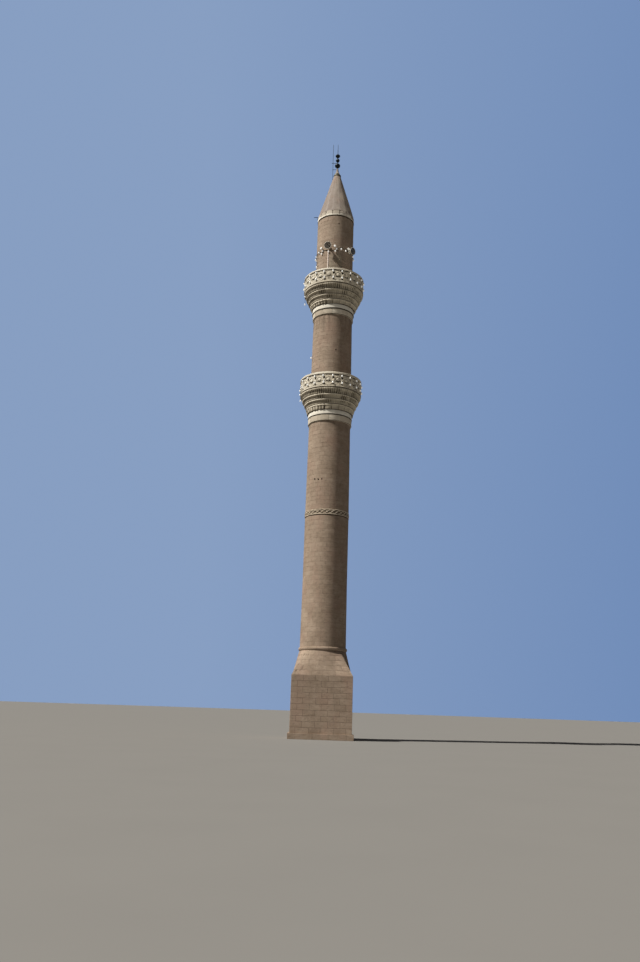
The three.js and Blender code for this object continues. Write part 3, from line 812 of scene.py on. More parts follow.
def make_balcony(name):
    bore = BALCONY_BORE[name]
    foot, first, second = COVE_RADII[name]
    make_collar(name, bore)
    make_plain_band(name, bore)
    make_fluted_ring(name, bore)
    make_double_cove(name, bore, foot, first, second)
    make_top_cove(name, bore, second)
    make_slab_edge(name + "_balcony_floor", bore, POST_SIDE[name])
    make_parapet(name)
    make_rail(name + "_parapet_rail", POST_SIDE[name])


def make_collar(name, bore):
    """A flat band over a recess that holds the shadow, with joints between its stones; the recess is also
    painted dark as shade.
    """
    node = name + "_collar_band"
    bottom, top, reach = extent(node)
    face = [
        *rows_at(reach, bottom, [
            (-0.024, 0, 0, -2.6), (-0.024, 0.022, 0, -2.2), (-0.004, 0.026), (0, 0.038),
        ]),
        *rows_at(reach, top, [(0, -0.030, 0, 0.2), (0.006, -0.024, 0, 0.2), (0.006, -0.006), (-0.006, 0)]),
    ]
    builder = Builder()
    carved_course(builder, bore, face, reach - 0.045, 12, 8, seed=35, gap=0.012, first=side(-3),
                  tones=(1.35, 0.9))
    builder.make(node + "_stones", COLLAR_STONE, "balcony_stone", [node])


def make_plain_band(name, bore):
    """A very pale band that leans back a little, over a groove painted dark as shade."""
    node = name + "_plain_band"
    bottom, top, reach = extent(node)
    lean = 0.012
    face = [
        *rows_at(reach, bottom, [
            (-0.055, 0, 0, -3.5), (-0.055, 0.055, 0, -3.0), (0, 0.060), (0.004, 0.072),
        ]),
        *rows_at(reach - lean, top, [(0, -0.01), (-0.01, 0)]),
    ]
    builder = Builder()
    carved_course(builder, bore, face, reach - lean - 0.015, 10, 8, seed=36)
    builder.make(node + "_stones", PALE_STONE, "balcony_stone", [node])


def lumps(count, depth, phase):
    """Round rolls side by side with sharp furrows between them."""
    return lambda angle: -depth * (1 - abs(math.sin((angle - phase) * count / 2)) ** 0.6)


def ribs(count, depth, phase):
    return lambda angle: -depth * math.cos((angle - phase) * count / 2) ** 2


def painted_roll_light_and_shade(count, phase, dark, light, width):
    """Tones for rolls side by side: painted light at each roll's left-hand end fading to painted shade at
    its right, and dark in the furrow at its right-hand end, which stands for the joint and the shade in it.
    """
    def shade(angle):
        place = ((angle - phase) * count / TAU) % 1.0
        return -dark if place > 1 - width or place < width / 3 else light * math.cos(place * math.pi)
    return shade


def make_fluted_ring(name, bore):
    """Rolls side by side on the sunny side, broader blocks on the other; each bay bulges at its foot. The
    groove under it and the face near its foot are painted darker as shade, and the rolls carry painted light
    and shade.
    """
    node = name + "_fluted_ring"
    bottom, top, reach = extent(node)
    _, _, foot = extent(name + "_plain_band")
    phase = POST_SIDE[name]
    rise = top - FILLET - bottom
    face = [
        *rows_at(foot, bottom, [
            (-GROOVE, 0, 0, -2.6), (-GROOVE, 0.014, 0, -2.2), (0.060, 0.016, 1.7, -0.3),
            (0.072, 0.050, 1.4, 0.3), (0.080, rise * 0.45, 1.0, 0.6), (0.090, rise * 0.75, 0.8, 0.7),
        ]),
        *rows_at(reach, top - FILLET, [
            (-0.018, -0.016, 0.5, 0.8), (-0.016, 0, 0.2, CREST), (0, 0.004, 0, CREST),
        ]),
        *rows_at(reach, top, [(0, -0.006, 0, 0.8), (-0.008, 0)]),
    ]
    many = BAYS * LUMPS_PER_BAY
    broad = lumps(BAYS, 0.042, phase)
    rolls = lumps(many, 0.034, phase)
    block_shade = painted_roll_light_and_shade(BAYS, phase, 1.2, 0.15, 0.07)
    roll_shade = painted_roll_light_and_shade(many, phase, 1.3, 0.5, 0.17)
    half_gap = 0.0015
    builder = Builder()
    rng = random.Random(37)
    for bay in range(BAYS):
        start = phase + bay * BAY
        away = ((bay + 0.5) * BAY + math.pi) % TAU - math.pi
        blocks = math.radians(-12) < away < math.radians(110)
        relief = broad if blocks else lambda angle: broad(angle) * 0.7 + rolls(angle)
        shade = block_shade if blocks else roll_shade
        tone = rng.uniform(0.0, 0.8)
        profile = closed_profile(bore, face)
        builder.sector(profile, start + half_gap, start + BAY - half_gap, 32, relief, tone, shade)
    core_ring(builder, bore, bottom, top, foot - 0.03)
    builder.make(node + "_rolls", COVE_STONE, "balcony_stone", [node])


def member_face(foot, bottom, reach, top, shades, fillet, crest):
    """A groove painted dark as shade, a soffit, a hollow that leans out and a square fillet; shades paint
    shade and light into the hollow, from its foot to its top.
    """
    lower, upper = shades
    inner = foot + SOFFIT
    outer = reach - 0.020
    lip = bottom + GROOVE_HEIGHT + 0.010
    rise = top - fillet - lip
    face = [
        *rows_at(foot - GROOVE, bottom, [(0, 0, 0, -2.8), (0, GROOVE_HEIGHT - 0.004, 0, -2.4)]),
        *rows_at(inner, lip, [(-0.008, -0.010, 1.0, lower), (0, 0, 1.0, lower)]),
    ]
    steps = 6
    for i in range(1, steps + 1):
        turn = HOLLOW_BEND * i / steps
        share = (1 - math.cos(turn)) / (1 - math.cos(HOLLOW_BEND))
        look = (0.3, crest) if i == steps else (1.0, lower + (upper - lower) * i / steps)
        face.append((inner + (outer - inner) * share, lip + rise * math.sin(turn), *look))
    face += rows_at(reach, top - fillet, [(-0.004, 0, 0, crest), (0, 0.008, 0, crest)])
    return [*face, *rows_at(reach, top, [(0, -0.008, 0, 0.5), (-0.010, 0)])]


def make_double_cove(name, bore, foot, first, second):
    node = name + "_double_cove"
    bottom, top, _ = extent(node)
    middle = bottom + (top - bottom) * 0.51
    phase = POST_SIDE[name]
    many = BAYS * RIBS_PER_BAY
    relief = ribs(many, 0.012, phase)
    # Painted light and shade on the ribs; the hollows are painted darker towards their tops, under the
    # member above.
    shade = painted_roll_light_and_shade(many, phase, 0.55, 0.2, 0.25)
    builder = Builder()
    members = ((bottom, middle, foot, first, 41), (middle, top, first, second, 42))
    for low, high, inner, outer, seed in members:
        face = member_face(inner - COVE_STEP_BACK, low, outer, high, (0.0, -0.4), FILLET, COVE_CREST[name])
        stone_ring(builder, closed_profile(bore, face), BAYS, 24, relief, seed, 0.005, phase, shade=shade)
    core_ring(builder, bore, bottom, top, foot - 0.06)
    builder.make(node + "_stones", COVE_STONE, "balcony_stone", [node])


def make_top_cove(name, bore, foot):
    """The uppermost member, cut into ribs whose ends scallop its lower edge; its hollow is painted dark at
    the foot and light at the top, and its ribs carry painted light and shade.
    """
    node = name + "_top_cove"
    bottom, top, reach = extent(node)
    phase = POST_SIDE[name]
    many = BAYS * RIBS_PER_BAY
    face = member_face(foot - COVE_STEP_BACK, bottom, reach, top, (-0.5, 0.6), TOP_FILLET, 1.0)
    builder = Builder()
    carved_course(builder, bore, face, foot - 0.06, BAYS, 32, relief=lumps(many, 0.034, phase), seed=43,
                  gap=0.005, first=phase, shade=painted_roll_light_and_shade(many, phase, 1.1, 0.2, 0.2))
    builder.make(node + "_stones", COVE_STONE, "balcony_stone", [node])


def make_slab_edge(node, bore, first):
    bottom, top, reach = extent(node)
    # The groove under the slab's edge takes the dark mortar colour: painted shade.
    face = [
        *rows_at(reach, bottom, [(-0.080, 0, 0, -3.4), (-0.080, 0.046, 0, -3.4), (-0.004, 0.050)]),
        (reach, bottom + 0.056, 0, 0.4),
        *rows_at(reach, top, [(0, -0.016, 0, 0.4), (-0.010, 0)]),
    ]
    builder = Builder()
    carved_course(builder, bore, face, reach - 0.09, BAYS, 4, seed=44, gap=0.003, first=first)
    builder.make(node + "_slabs", PARAPET_STONE, "balcony_stone", [node])


def make_rail(node, first):
    bottom, top, reach = extent(node)
    profile = [
        (RAIL_INNER, bottom),
        *rows_at(reach, bottom, [(-0.018, 0), (0, 0.016, 0, 0.8)]),
        *rows_at(reach, top, [(0, -0.03, 0, 0.8), (-0.012, -0.006, 0, 0.8), (-0.03, 0, 0, 0.5)]),
        *rows_at(RAIL_INNER, top, [(0.02, 0), (0, -0.02)]),
    ]
    builder = Builder()
    stone_ring(builder, profile, 10, 10, seed=45, first=first)
    builder.make(node + "_stones", PARAPET_STONE, "balcony_stone", [node])


# Parapet panels, drawn flat as outlines and then bent round the balcony

BAY_WIDTH = TAU * PANEL_OUTER / BAYS
# Edge of the recesses beside a post, from the lower one up; steps sideways and up from the knot
NOTCHES = (
    (0, -0.264), (0.030, -0.256), (0.052, -0.232), (0.056, -0.192), (0.034, -0.152), (0, -0.130),
    (0, 0.100), (0.034, 0.135), (0.062, 0.180), (0.062, 0.230), (0.038, 0.285), (0, 0.302),
)
BROW = ((0, 0.223), (0.080, 0.208), (0.083, 0.190), (0, 0.203))
BEAD = ((0, 0.056), (0.038, 0.032), (0.048, 0.0), (0.038, -0.032), (0, -0.056))
PLAIN_BAYS = {("upper", BAYS - 1)}


def circle_points(x, y, radius, angles):
    return [(x + radius * math.cos(t), y + radius * math.sin(t)) for t in angles]


def crescent_points(x, y, outer, thickness):
    """A smile: the lower arc of one circle, closed by the arc of a smaller one."""
    shift = thickness * 0.55
    under, _ = arc(math.radians(200), math.radians(340), 10)
    over, _ = arc(math.radians(330), math.radians(210), 8)
    return [*circle_points(x, y, outer, under), *circle_points(x, y + shift, outer - shift, over)]


def mirrored(centre, level, half):
    """An outline from the right half of one that is the same on both sides."""
    left = [(-x, y) for x, y in reversed(half) if x]
    return [(centre + x, level + y) for x, y in [*half, *left]]


def outline_solid(builder, outlines, inner, outer, tone, cuts, phase, chamfer=0.004):
    """Fills outlines (the first ones solid, those inside them holes), gives them depth and bends them."""
    curve = bpy.data.curves.new("outline", "CURVE")
    curve.dimensions = "2D"
    curve.fill_mode = "BOTH"
    curve.extrude = (outer - inner) / 2 - chamfer
    curve.bevel_depth = chamfer
    curve.bevel_resolution = 0
    curve.offset = -chamfer
    for outline in outlines:
        spline = curve.splines.new("POLY")
        spline.points.add(len(outline) - 1)
        spline.points.foreach_set("co", [v for x, y in outline for v in (x, y, 0.0, 1.0)])
        spline.use_cyclic_u = True
    holder = placed("outline", curve)
    mesh = bpy.data.meshes.new_from_object(holder.evaluated_get(bpy.context.evaluated_depsgraph_get()))
    bpy.data.objects.remove(holder)
    bpy.data.curves.remove(curve)
    work = bmesh.new()
    work.from_mesh(mesh)
    bpy.data.meshes.remove(mesh)
    bmesh.ops.remove_doubles(work, verts=work.verts, dist=1e-5)
    for cut in cuts:
        geometry = [*work.verts, *work.edges, *work.faces]
        bmesh.ops.bisect_plane(work, geom=geometry, plane_co=(cut, 0, 0), plane_no=(1, 0, 0), dist=1e-6)
    middle = (inner + outer) / 2
    work.verts.index_update()
    points = [polar(middle + v.co.z, v.co.x / PANEL_OUTER + phase, v.co.y) for v in work.verts]
    faces = [tuple(v.index for v in face.verts) for face in work.faces]
    work.free()
    builder.add(points, faces, tone)


def make_parapet(name):
    """Carved panels: rings that touch at the posts, recesses darkened by a near-black sheet of painted shade
    behind them, a boss over a crescent in each bay.
    """
    node = name + "_parapet"
    bottom, top, _ = extent(node)
    phase = POST_SIDE[name]
    knot = (bottom + top) / 2 - 0.065
    sheet_top = top - GROOVE_UNDER_RAIL
    inner = PANEL_OUTER - SHEET_THICKNESS
    sheets, raised, backing = Builder(), Builder(), Builder()
    for bay in range(BAYS):
        centre = (bay + 0.5) * BAY_WIDTH
        angle = phase + (bay + 0.5) * BAY
        left, right = bay * BAY_WIDTH, (bay + 1) * BAY_WIDTH
        cuts = [left + BAY_WIDTH * i / 6 for i in range(1, 6)]
        tone = random.Random(bay + 5).uniform(0.35, 0.8)
        outlines = [[
            (left, bottom), (right, bottom), *[(right - x, knot + y) for x, y in NOTCHES],
            (right, sheet_top), (left, sheet_top), *[(left + x, knot + y) for x, y in reversed(NOTCHES)],
        ]]
        if (name, bay) in PLAIN_BAYS:
            outlines.append(crescent_points(centre, knot + 0.150, 0.182, 0.045))
            outlines.append(crescent_points(centre, knot - 0.105, 0.085, 0.045))
            boss(raised, PANEL_OUTER, angle, knot + 0.160, 0.148, 0.026, 24, tone + 0.5)
        else:
            outlines.append(crescent_points(centre, knot + 0.055, 0.142, 0.064))
            outlines.append(mirrored(centre, knot, BROW))
            ring = [circle_points(centre, knot, radius, turns(36)) for radius in (0.262, 0.228)]
            outline_solid(raised, ring, PANEL_OUTER - 0.006, PANEL_OUTER + 0.018, tone + 1.1, cuts, phase)
            boss(raised, PANEL_OUTER, angle, knot + 0.080, 0.098, 0.036, 16, tone + 0.9)
        outline_solid(sheets, outlines, inner, PANEL_OUTER, tone, cuts, phase)
    for bay in range(BAYS):
        angle = phase + bay * BAY
        at = bay * BAY_WIDTH
        post = box_profile(inner, PANEL_OUTER - 0.004, sheet_top - 0.004, top)
        sheets.sector(post, angle - 0.026, angle + 0.026, 2, tone=1.2)
        bead = [mirrored(at, knot, BEAD)]
        outline_solid(raised, bead, PANEL_OUTER - 0.02, PANEL_OUTER + 0.024, 1.9, [at], phase, 0.006)
    # A near-black sheet behind the panels shows through the recesses: painted shade.
    backing.sector(box_profile(BACKING_INNER, inner, bottom, top), 0.0, TAU, BAYS * 4)
    sheets.make(node + "_panels", PARAPET_STONE, "balcony_stone", [node], 25)
    raised.make(node + "_carving", PARAPET_STONE, "balcony_stone", (), 25)
    backing.make(node + "_recess_backs", PAINTED_RECESS_SHADE, "balcony_stone")


# Cap, finial and rod

def make_cap():
    """An upright ring of cream stones over a groove painted dark as shade, the cone over it, and a small
    hook at the left.
    """
    bottom, top, reach = extent("cap_ring")
    rng = random.Random(90)
    builder = Builder()
    half = TAU / CAP_STONES / 2
    for i in range(CAP_STONES):
        proud = reach + rng.uniform(-0.006, 0.002)
        crest_top = bottom + rng.uniform(0.10, 0.25)
        face = [
            *rows_at(reach, bottom, [(-0.055, 0, 0, -2.8), (-0.055, 0.050, 0, -2.2)]),
            (proud, bottom + 0.056, 0, CREST),
            *rows_at(proud, crest_top, [(0, 0, 0, 0.6), (-0.004, 0.05, 0, 0.2)]),
            *rows_at(proud, top, [(-0.016, -0.03, 0, -0.1), (-0.024, 0)]),
        ]
        middle = CAP_JOINT + (2 * i + 1) * half
        leaning_stone(builder, closed_profile(0.80, face), middle, half - 0.005, 0.021, rng.random())
    core_ring(builder, DRUM_BORE, bottom, top, reach - 0.06)
    builder.make("cap_ring_stones", CAP_RING_STONE, "cap_stone", ["cap_ring"])
    make_cone()
    hook = Builder()
    level = top + 0.10
    arm = rows_at(0.0, level, [(1.10, 0), (1.30, 0.012), (1.40, 0)])
    drop = rows_at(0.0, level, [(1.17, 0), (1.19, -0.10), (1.15, -0.16)])
    tube(hook, [polar(radius, math.pi, height) for radius, height in arm], 0.018)
    tube(hook, [polar(radius, math.pi, height) for radius, height in drop], 0.010)
    hook.make("cap_bracket", DARK_METAL, "dark_metal")


def leaning_stone(builder, profile, middle, half, narrowing, tone):
    """A stone of a ring that grows narrower upwards, so that the gaps beside it open like a V."""
    profile = whole_points(profile)
    low, high = profile[0][1], profile[-1][1]
    steps = 6
    rings = []
    for i in range(steps + 1):
        away = 2 * i / steps - 1
        rings.append([
            polar(radius, middle + away * (half - narrowing * (height - low) / (high - low)), height)
            for radius, height, *_ in profile
        ])
    builder.tube_grid(rings, tone, lifts=[point[3] for point in profile])


def make_cone():
    """A rendered stone cone with pale upright seams and a slightly uneven face."""
    bottom, top, foot = extent("cap_cone")
    around, up = CAP_STONES * 10, 40

    def seam(angle):
        return max(0.0, math.cos((angle - CAP_JOINT) * CAP_STONES)) ** 5

    rings = []
    for share, radius in ((0.80, 0.02), (0.5, 0.37), (0.0, 0.98)):
        rings.append([polar(radius, angle, bottom + (top - bottom) * share) for angle in turns(around)])
    for j in range(up + 1):
        share = j / up
        radius = foot + (CONE_HEAD - foot) * share
        ring = []
        for angle in turns(around):
            sway = 0.004 * math.sin(3 * angle + share * 5) + 0.003 * math.sin(7 * angle - share * 11)
            out = (0.007 * seam(angle) + sway) * min(1.0, radius / 0.4)
            ring.append(polar(radius - 0.006 + out, angle, bottom + (top - bottom) * share))
        rings.append(ring)
    rng = random.Random(92)
    strength = [rng.uniform(0.25, 1.0) for _ in range(CAP_STONES)]
    lifts = []
    for i in range(around):
        angle = TAU * (i + 0.5) / around
        lifts.append(seam(angle) * strength[round((angle - CAP_JOINT) / TAU * CAP_STONES) % CAP_STONES])
    builder = Builder()
    builder.tube_grid(rings, lifts=lifts)
    builder.make("cap_cone_render", CAP_STONE, "cap_stone", ["cap_cone"])


def turned(builder, outline, sides=32, x=0.0, y=0.0):
    """Turns (radius, height) points about an upright axis, closed at both ends."""
    builder.tube_grid([
        [(x + radius * math.cos(t), y + radius * math.sin(t), height) for t in turns(sides)]
        for radius, height in outline
    ])


def turned_piece(node, material, slot, outline, sides=32):
    builder = Builder()
    turned(builder, outline, sides)
    builder.make(node + "_turned", material, slot, [node])


def make_finial():
    bottom, top, _ = extent("finial_collar")
    turned_piece("finial_collar", OLIVE_METAL, "dark_metal", [
        *rows_at(0.0, bottom, [
            (0.19, 0), (0.228, 0.002), (0.240, 0.020), (0.240, 0.085), (0.228, 0.105), (0.206, 0.125),
            (0.184, 0.160),
        ]),
        (0.168, top), (0.12, top),
    ])
    bottom, top, _ = extent("finial_neck")
    turned_piece("finial_neck", CAP_STONE, "cap_stone", [
        *rows_at(0.0, bottom, [
            (0.10, 0), (0.158, 0), (0.150, 0.03), (0.120, 0.08), (0.098, 0.14), (0.080, 0.24),
        ]),
        (0.066, top - 0.05), (0.058, top), (0.04, top),
    ])
    # Middle height, radius, half height, and the radii of the stems under and over each ball
    balls = {
        "finial_large_ball": (35.75, 0.170, 0.146, 0.058, 0.034),
        "finial_middle_ball": (36.15, 0.120, 0.126, 0.030, 0.030),
        "finial_small_ball": (36.48, 0.146, 0.108, 0.030, 0.024),
    }
    steps = 14
    for node, (centre, radius, half, foot, neck) in balls.items():
        bottom, top, _ = extent(node)
        seam = rows_at(radius, centre, [(0, -0.006), (0.003, -0.004), (0.003, 0.004), (0, 0.006)])
        outline = [(foot, bottom), (neck + 0.004, centre - half - 0.02)]
        for i in range(1, steps):
            turn = -math.pi / 2 + math.pi * i / steps
            point = (max(neck, math.cos(turn) * radius), centre + math.sin(turn) * half)
            outline += seam if i == steps // 2 else [point]
        outline += [(neck, centre + half + 0.015), (0.028, top)]
        turned_piece(node, DARK_METAL, "dark_metal", outline)
    bottom, top, _ = extent("finial_spike")
    spike = [(0.018, bottom), (0.016, bottom + 0.2), (0.010, top - 0.06), (0.002, top)]
    turned_piece("finial_spike", DARK_METAL, "dark_metal", spike, 12)


def tube(builder, path, size, sides=8):
    """A round tube along points."""
    rings = []
    for i, point in enumerate(path):
        before, after = Vector(path[max(0, i - 1)]), Vector(path[min(len(path) - 1, i + 1)])
        along = (after - before).normalized()
        across = across - along * across.dot(along) if rings else along.orthogonal()
        across = across.normalized()
        other = along.cross(across)
        rings.append([
            tuple(Vector(point) + (across * math.cos(t) + other * math.sin(t)) * size) for t in turns(sides)
        ])
    builder.tube_grid(rings)


def make_lightning_rod():
    low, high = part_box("lightning_rod")
    builder = Builder()
    tube(builder, [(ROD_X, 0, low.z + 0.01), (ROD_X, 0, high.z - 0.05)], 0.012, 10)
    tube(builder, [(ROD_X, 0, high.z - 0.06), (ROD_X, 0, high.z)], 0.006, 10)
    for height, near, far in ((35.46, 0.062, 0.30), (35.935, 0.040, 0.38)):
        tube(builder, [(-far, 0, height), (-near, 0, height)], 0.012)
        tube(builder, [(ROD_X, 0, height - 0.03), (ROD_X, 0, height + 0.03)], 0.020, 10)
    builder.make("lightning_rod_bars", DARK_METAL, "dark_metal", ["lightning_rod"])


# Horns and floodlights

def outward(points, at, start, height):
    """Moves points made about +Z so that +Z points outward from the tower and a little down."""
    turn = Matrix.Rotation(at, 4, "Z") @ Matrix.Rotation(math.radians(90 + HORN_TILT), 4, "Y")
    place = Matrix.Translation(polar(start, at, height)) @ turn
    return [tuple(place @ Vector(point)) for point in points]


def outward_turned(builder, outline, sides, at, start, height):
    shell = Builder()
    turned(shell, outline, sides)
    builder.add(outward(shell.points, at, start, height), shell.faces)


def flare_points(narrowest, widest, start, end):
    """Points along a flare that opens faster and faster."""
    shares = [i / 16 for i in range(17)]
    wider, along = widest - narrowest, end - start
    return [(narrowest + wider * share ** 1.9, start + along * share) for share in shares]


def make_horn(node, at, height, throat_shade):
    """A re-entrant horn: driver, flare with a rolled rim, a throat sheet painted dark as shade, centre plug
    and a bracket.
    """
    length, mouth = 0.36, 0.231
    driver = [(0.02, 0.0), (0.075, 0.002), (0.086, 0.014), (0.086, 0.092), (0.07, 0.102), (0.040, 0.108),
              (0.040, 0.15)]
    outside = flare_points(0.044, mouth, 0.16, length - 0.034)
    rim = rows_at(mouth, length, [
        (0.005, -0.026), (0.006, -0.012), (0, -0.002), (-0.006, 0), (-0.014, -0.004),
    ])
    inside = [*reversed(flare_points(0.030, mouth - 0.018, 0.18, length - 0.010)), (0.01, 0.18)]
    body = Builder()
    outward_turned(body, [*driver, *outside, *rim, *inside], 40, at, HORN_FOOT, height)
    body.make(node + "_body", HORN_PAINT, "horn_paint", [node])
    # The throat is a thin sheet inside the flare in a dark colour: painted shade.
    throat = Builder()
    deep = [(max(0.006, radius - 0.004), rise + 0.004) for radius, rise in inside]
    sheet = [*rows_at(0.003, 0.0, deep), *reversed(deep)]
    outward_turned(throat, sheet, 40, at, HORN_FOOT, height)
    throat.make(node + "_throat", throat_shade, "horn_paint")
    plug = Builder()
    outline = [(0.004, 0.20), (0.026, 0.21), (0.046, 0.25), (0.054, 0.29), (0.050, 0.320), (0.030, 0.346),
               (0.004, 0.354)]
    outward_turned(plug, outline, 24, at, HORN_FOOT, height)
    ends = ((0.045, 0.300), (0.140, 0.316))
    for turn in turns(3):
        arm = [polar(radius, math.radians(45) + turn, rise) for radius, rise in ends]
        tube(plug, outward(arm, at, HORN_FOOT, height), 0.009)
    plug.make(node + "_plug", HORN_PAINT, "horn_paint")
    make_horn_bracket(node, at, height)


def make_horn_bracket(node, at, height):
    """A wall plate, an arm and a yoke that grips the driver."""
    across = Vector(polar(1.0, at + math.pi / 2, 0.0))

    def place(radius, offset=0.0, rise=0.0):
        return tuple(Vector(polar(radius, at, height + rise)) + across * offset)

    builder = Builder()
    tube(builder, [place(ARM_FOOT), place(HORN_FOOT + 0.01)], 0.016, 10)
    tube(builder, [place(ARM_FOOT - 0.004), place(ARM_FOOT + 0.010)], 0.05, 16)
    yoke = [(0.06, -0.094, -0.01), (-0.02, -0.094), (-0.03,), (-0.02, 0.094), (0.06, 0.094, -0.01)]
    tube(builder, [place(HORN_FOOT + out, *rest) for out, *rest in yoke], 0.008)
    builder.make(node + "_bracket", DARK_METAL, "dark_metal")


def make_lamp(node, at):
    """A small round floodlight with a white housing and a domed front."""
    housing = Builder()
    outward_turned(housing, [
        (0.02, 0.0), (0.05, 0.004), (0.064, 0.03), (0.076, 0.07), (0.079, 0.090), (0.079, 0.102),
        (0.072, 0.104), (0.02, 0.100),
    ], 28, at, LAMP_FOOT, LAMP_HEIGHT)
    tube(housing, [polar(ARM_FOOT, at, LAMP_HEIGHT), polar(LAMP_FOOT + 0.02, at, LAMP_HEIGHT)], 0.012)
    housing.make(node + "_housing", WHITE_PLASTIC, "horn_paint", [node])
    glass = Builder()
    bend = [math.radians(degrees) for degrees in range(0, 90, 11)]
    dome = [(0.074 * math.cos(t), 0.096 + 0.036 * math.sin(t)) for t in bend]
    outward_turned(glass, [(0.02, 0.092), (0.074, 0.092), *dome], 28, at, LAMP_FOOT, LAMP_HEIGHT)
    glass.make(node + "_glass", BULB_WHITE, "horn_paint")


# Bulbs and their cables

# Lamps of the drum: degrees from the front towards the right, and height of the bulb's middle
DRUM_LAMPS = (
    (-77, 28.94), (-57, 29.03), (-44.4, 28.84), (-41.5, 29.02), (-20.4, 28.87), (0.4, 28.88), (4.1, 29.04),
    (18.4, 29.06), (33.7, 29.02), (50.5, 29.03), (72, 28.98), (95, 29.00), (118, 28.97), (140, 29.02),
    (163, 28.98), (186, 29.01), (209, 28.97), (232, 29.02), (255, 28.99),
)
# Lamps of the strand that hangs down the drum's left side
STRAND_LAMPS = ((-73, 28.68), (-64, 28.08), (-68, 27.78), (-67, 27.48))
# Posts without a lamp: balcony, row and the post's number from the front towards the right
MISSING_LAMPS = {
    ("lower", "upper", 16), ("lower", "upper", 15), ("lower", "lower", 15), ("upper", "upper", 17),
}
# Lamps that hang on cords: degrees, height of the bulb's middle, (radius, height) points down the cord
HANGING_LAMPS = {
    "upper": (
        (-88, 26.30, ((1.835, 26.64), (1.834, 26.50), (1.772, 26.42))),
        (-87, 25.74, ((1.835, 26.64), (1.842, 26.50), (1.795, 26.38), (1.768, 26.00))),
    ),
    "lower": (
        (-78, 19.67, ((1.832, 20.05), (1.870, 19.90), (1.868, 19.80))),
        (-74, 19.24, ((1.832, 20.05), (1.872, 19.85), (1.866, 19.50))),
    ),
}


def bulb(bulbs, sheath, reach, angle, top):
    """A long lamp hanging under its socket; top is the top of the glass."""
    x, y, _ = polar(reach, angle, top)
    glass = [(0.004, -0.125), (0.024, -0.119), (0.039, -0.095), (0.043, -0.070), (0.038, -0.040),
             (0.024, -0.014), (0.014, 0)]
    socket = [(0.013, -0.004), (0.017, 0.004), (0.017, 0.030), (0.006, 0.036)]
    turned(bulbs, rows_at(0.0, top, glass), 14, x, y)
    turned(sheath, rows_at(0.0, top, socket), 8, x, y)


def hang(bulbs, sheath, wall, angle, centre, reach):
    """A bulb on a short bracket that leaves the wall."""
    top = centre + BULB_RISE
    hook = top + HOOK_RISE
    tube(sheath, [polar(wall - 0.006, angle, hook), polar(reach, angle, hook)], 0.006, 6)
    bulb(bulbs, sheath, reach, angle, top)


def swag(sheath, knots, radius, size):
    """A cable through (angle, height) knots round the tower, sagging a little between them."""
    rings = []
    steps = 6
    following = [*knots[1:], (knots[0][0] + TAU, knots[0][1])]
    for (angle, level), (next_angle, next_level) in zip(knots, following):
        for share in [k / steps for k in range(steps)]:
            z = level + (next_level - level) * share - SAG * (next_angle - angle) * share * (1 - share)
            at = angle + (next_angle - angle) * share
            rings.append([polar(radius + size * math.cos(t), at, z + size * math.sin(t)) for t in turns(6)])
    sheath.tube_grid(rings, closed_ring=True)


def make_drum_lights():
    """A cable round the drum with bulbs on brackets, a strand of bulbs, and a bulb on the shaft below."""
    bulbs, sheath, garland = Builder(), Builder(), Builder()
    knots = []
    for degrees, centre in DRUM_LAMPS:
        knots.append((side(degrees), centre + 0.095))
        hang(bulbs, sheath, DRUM_WALL, side(degrees), centre, BULB_REACH)
    swag(garland, knots, 1.158, 0.017)
    path = [polar(BULB_REACH, side(STRAND_LAMPS[0][0]), 29.08)]
    for degrees, centre in STRAND_LAMPS:
        path.append(polar(STRAND_REACH - 0.03, side(degrees), centre + 0.092))
        hang(bulbs, sheath, DRUM_WALL, side(degrees), centre, STRAND_REACH)
    tube(sheath, path, 0.008, 6)
    hang(bulbs, sheath, 1.202, side(-74), 22.08, 1.30)
    sheath.make("drum_light_brackets", CABLE_SHEATH, "black_cable")
    garland.make("drum_light_cable_run", GARLAND_SHEATH, "black_cable", ["drum_light_cable"])
    bulbs.make("drum_light_bulbs", BULB_WHITE, "white_plastic")


def make_parapet_lights(name):
    """Bulbs near each post line in two rows, on cables along the panels, and some that hang on cords."""
    bottom, _, _ = extent(name + "_parapet")
    bulbs, sheath = Builder(), Builder()
    rng = random.Random(5)
    for row, centre in (("upper", bottom + 0.590), ("lower", bottom + 0.175)):
        knots = []
        for post in range(BAYS):
            angle = POST_SIDE[name] + post * BAY - math.radians(rng.uniform(0.4, 1.4))
            middle = centre + rng.uniform(-0.012, 0.012)
            knots.append((angle, middle + 0.085))
            if (name, row, post) not in MISSING_LAMPS:
                hang(bulbs, sheath, PANEL_OUTER, angle, middle, PANEL_OUTER + 0.047)
        swag(sheath, knots, PANEL_OUTER + 0.010, 0.006)
    for degrees, centre, cord in HANGING_LAMPS[name]:
        angle, top, reach = side(degrees), centre + BULB_RISE, cord[-1][0]
        tube(sheath, [polar(r, angle, z) for r, z in [*cord, (reach, top + HOOK_RISE)]], 0.007, 6)
        bulb(bulbs, sheath, reach, angle, top)
    sheath.make(name + "_parapet_light_cable", CABLE_SHEATH, "black_cable")
    bulbs.make(name + "_parapet_light_bulbs", BULB_WHITE, "white_plastic")


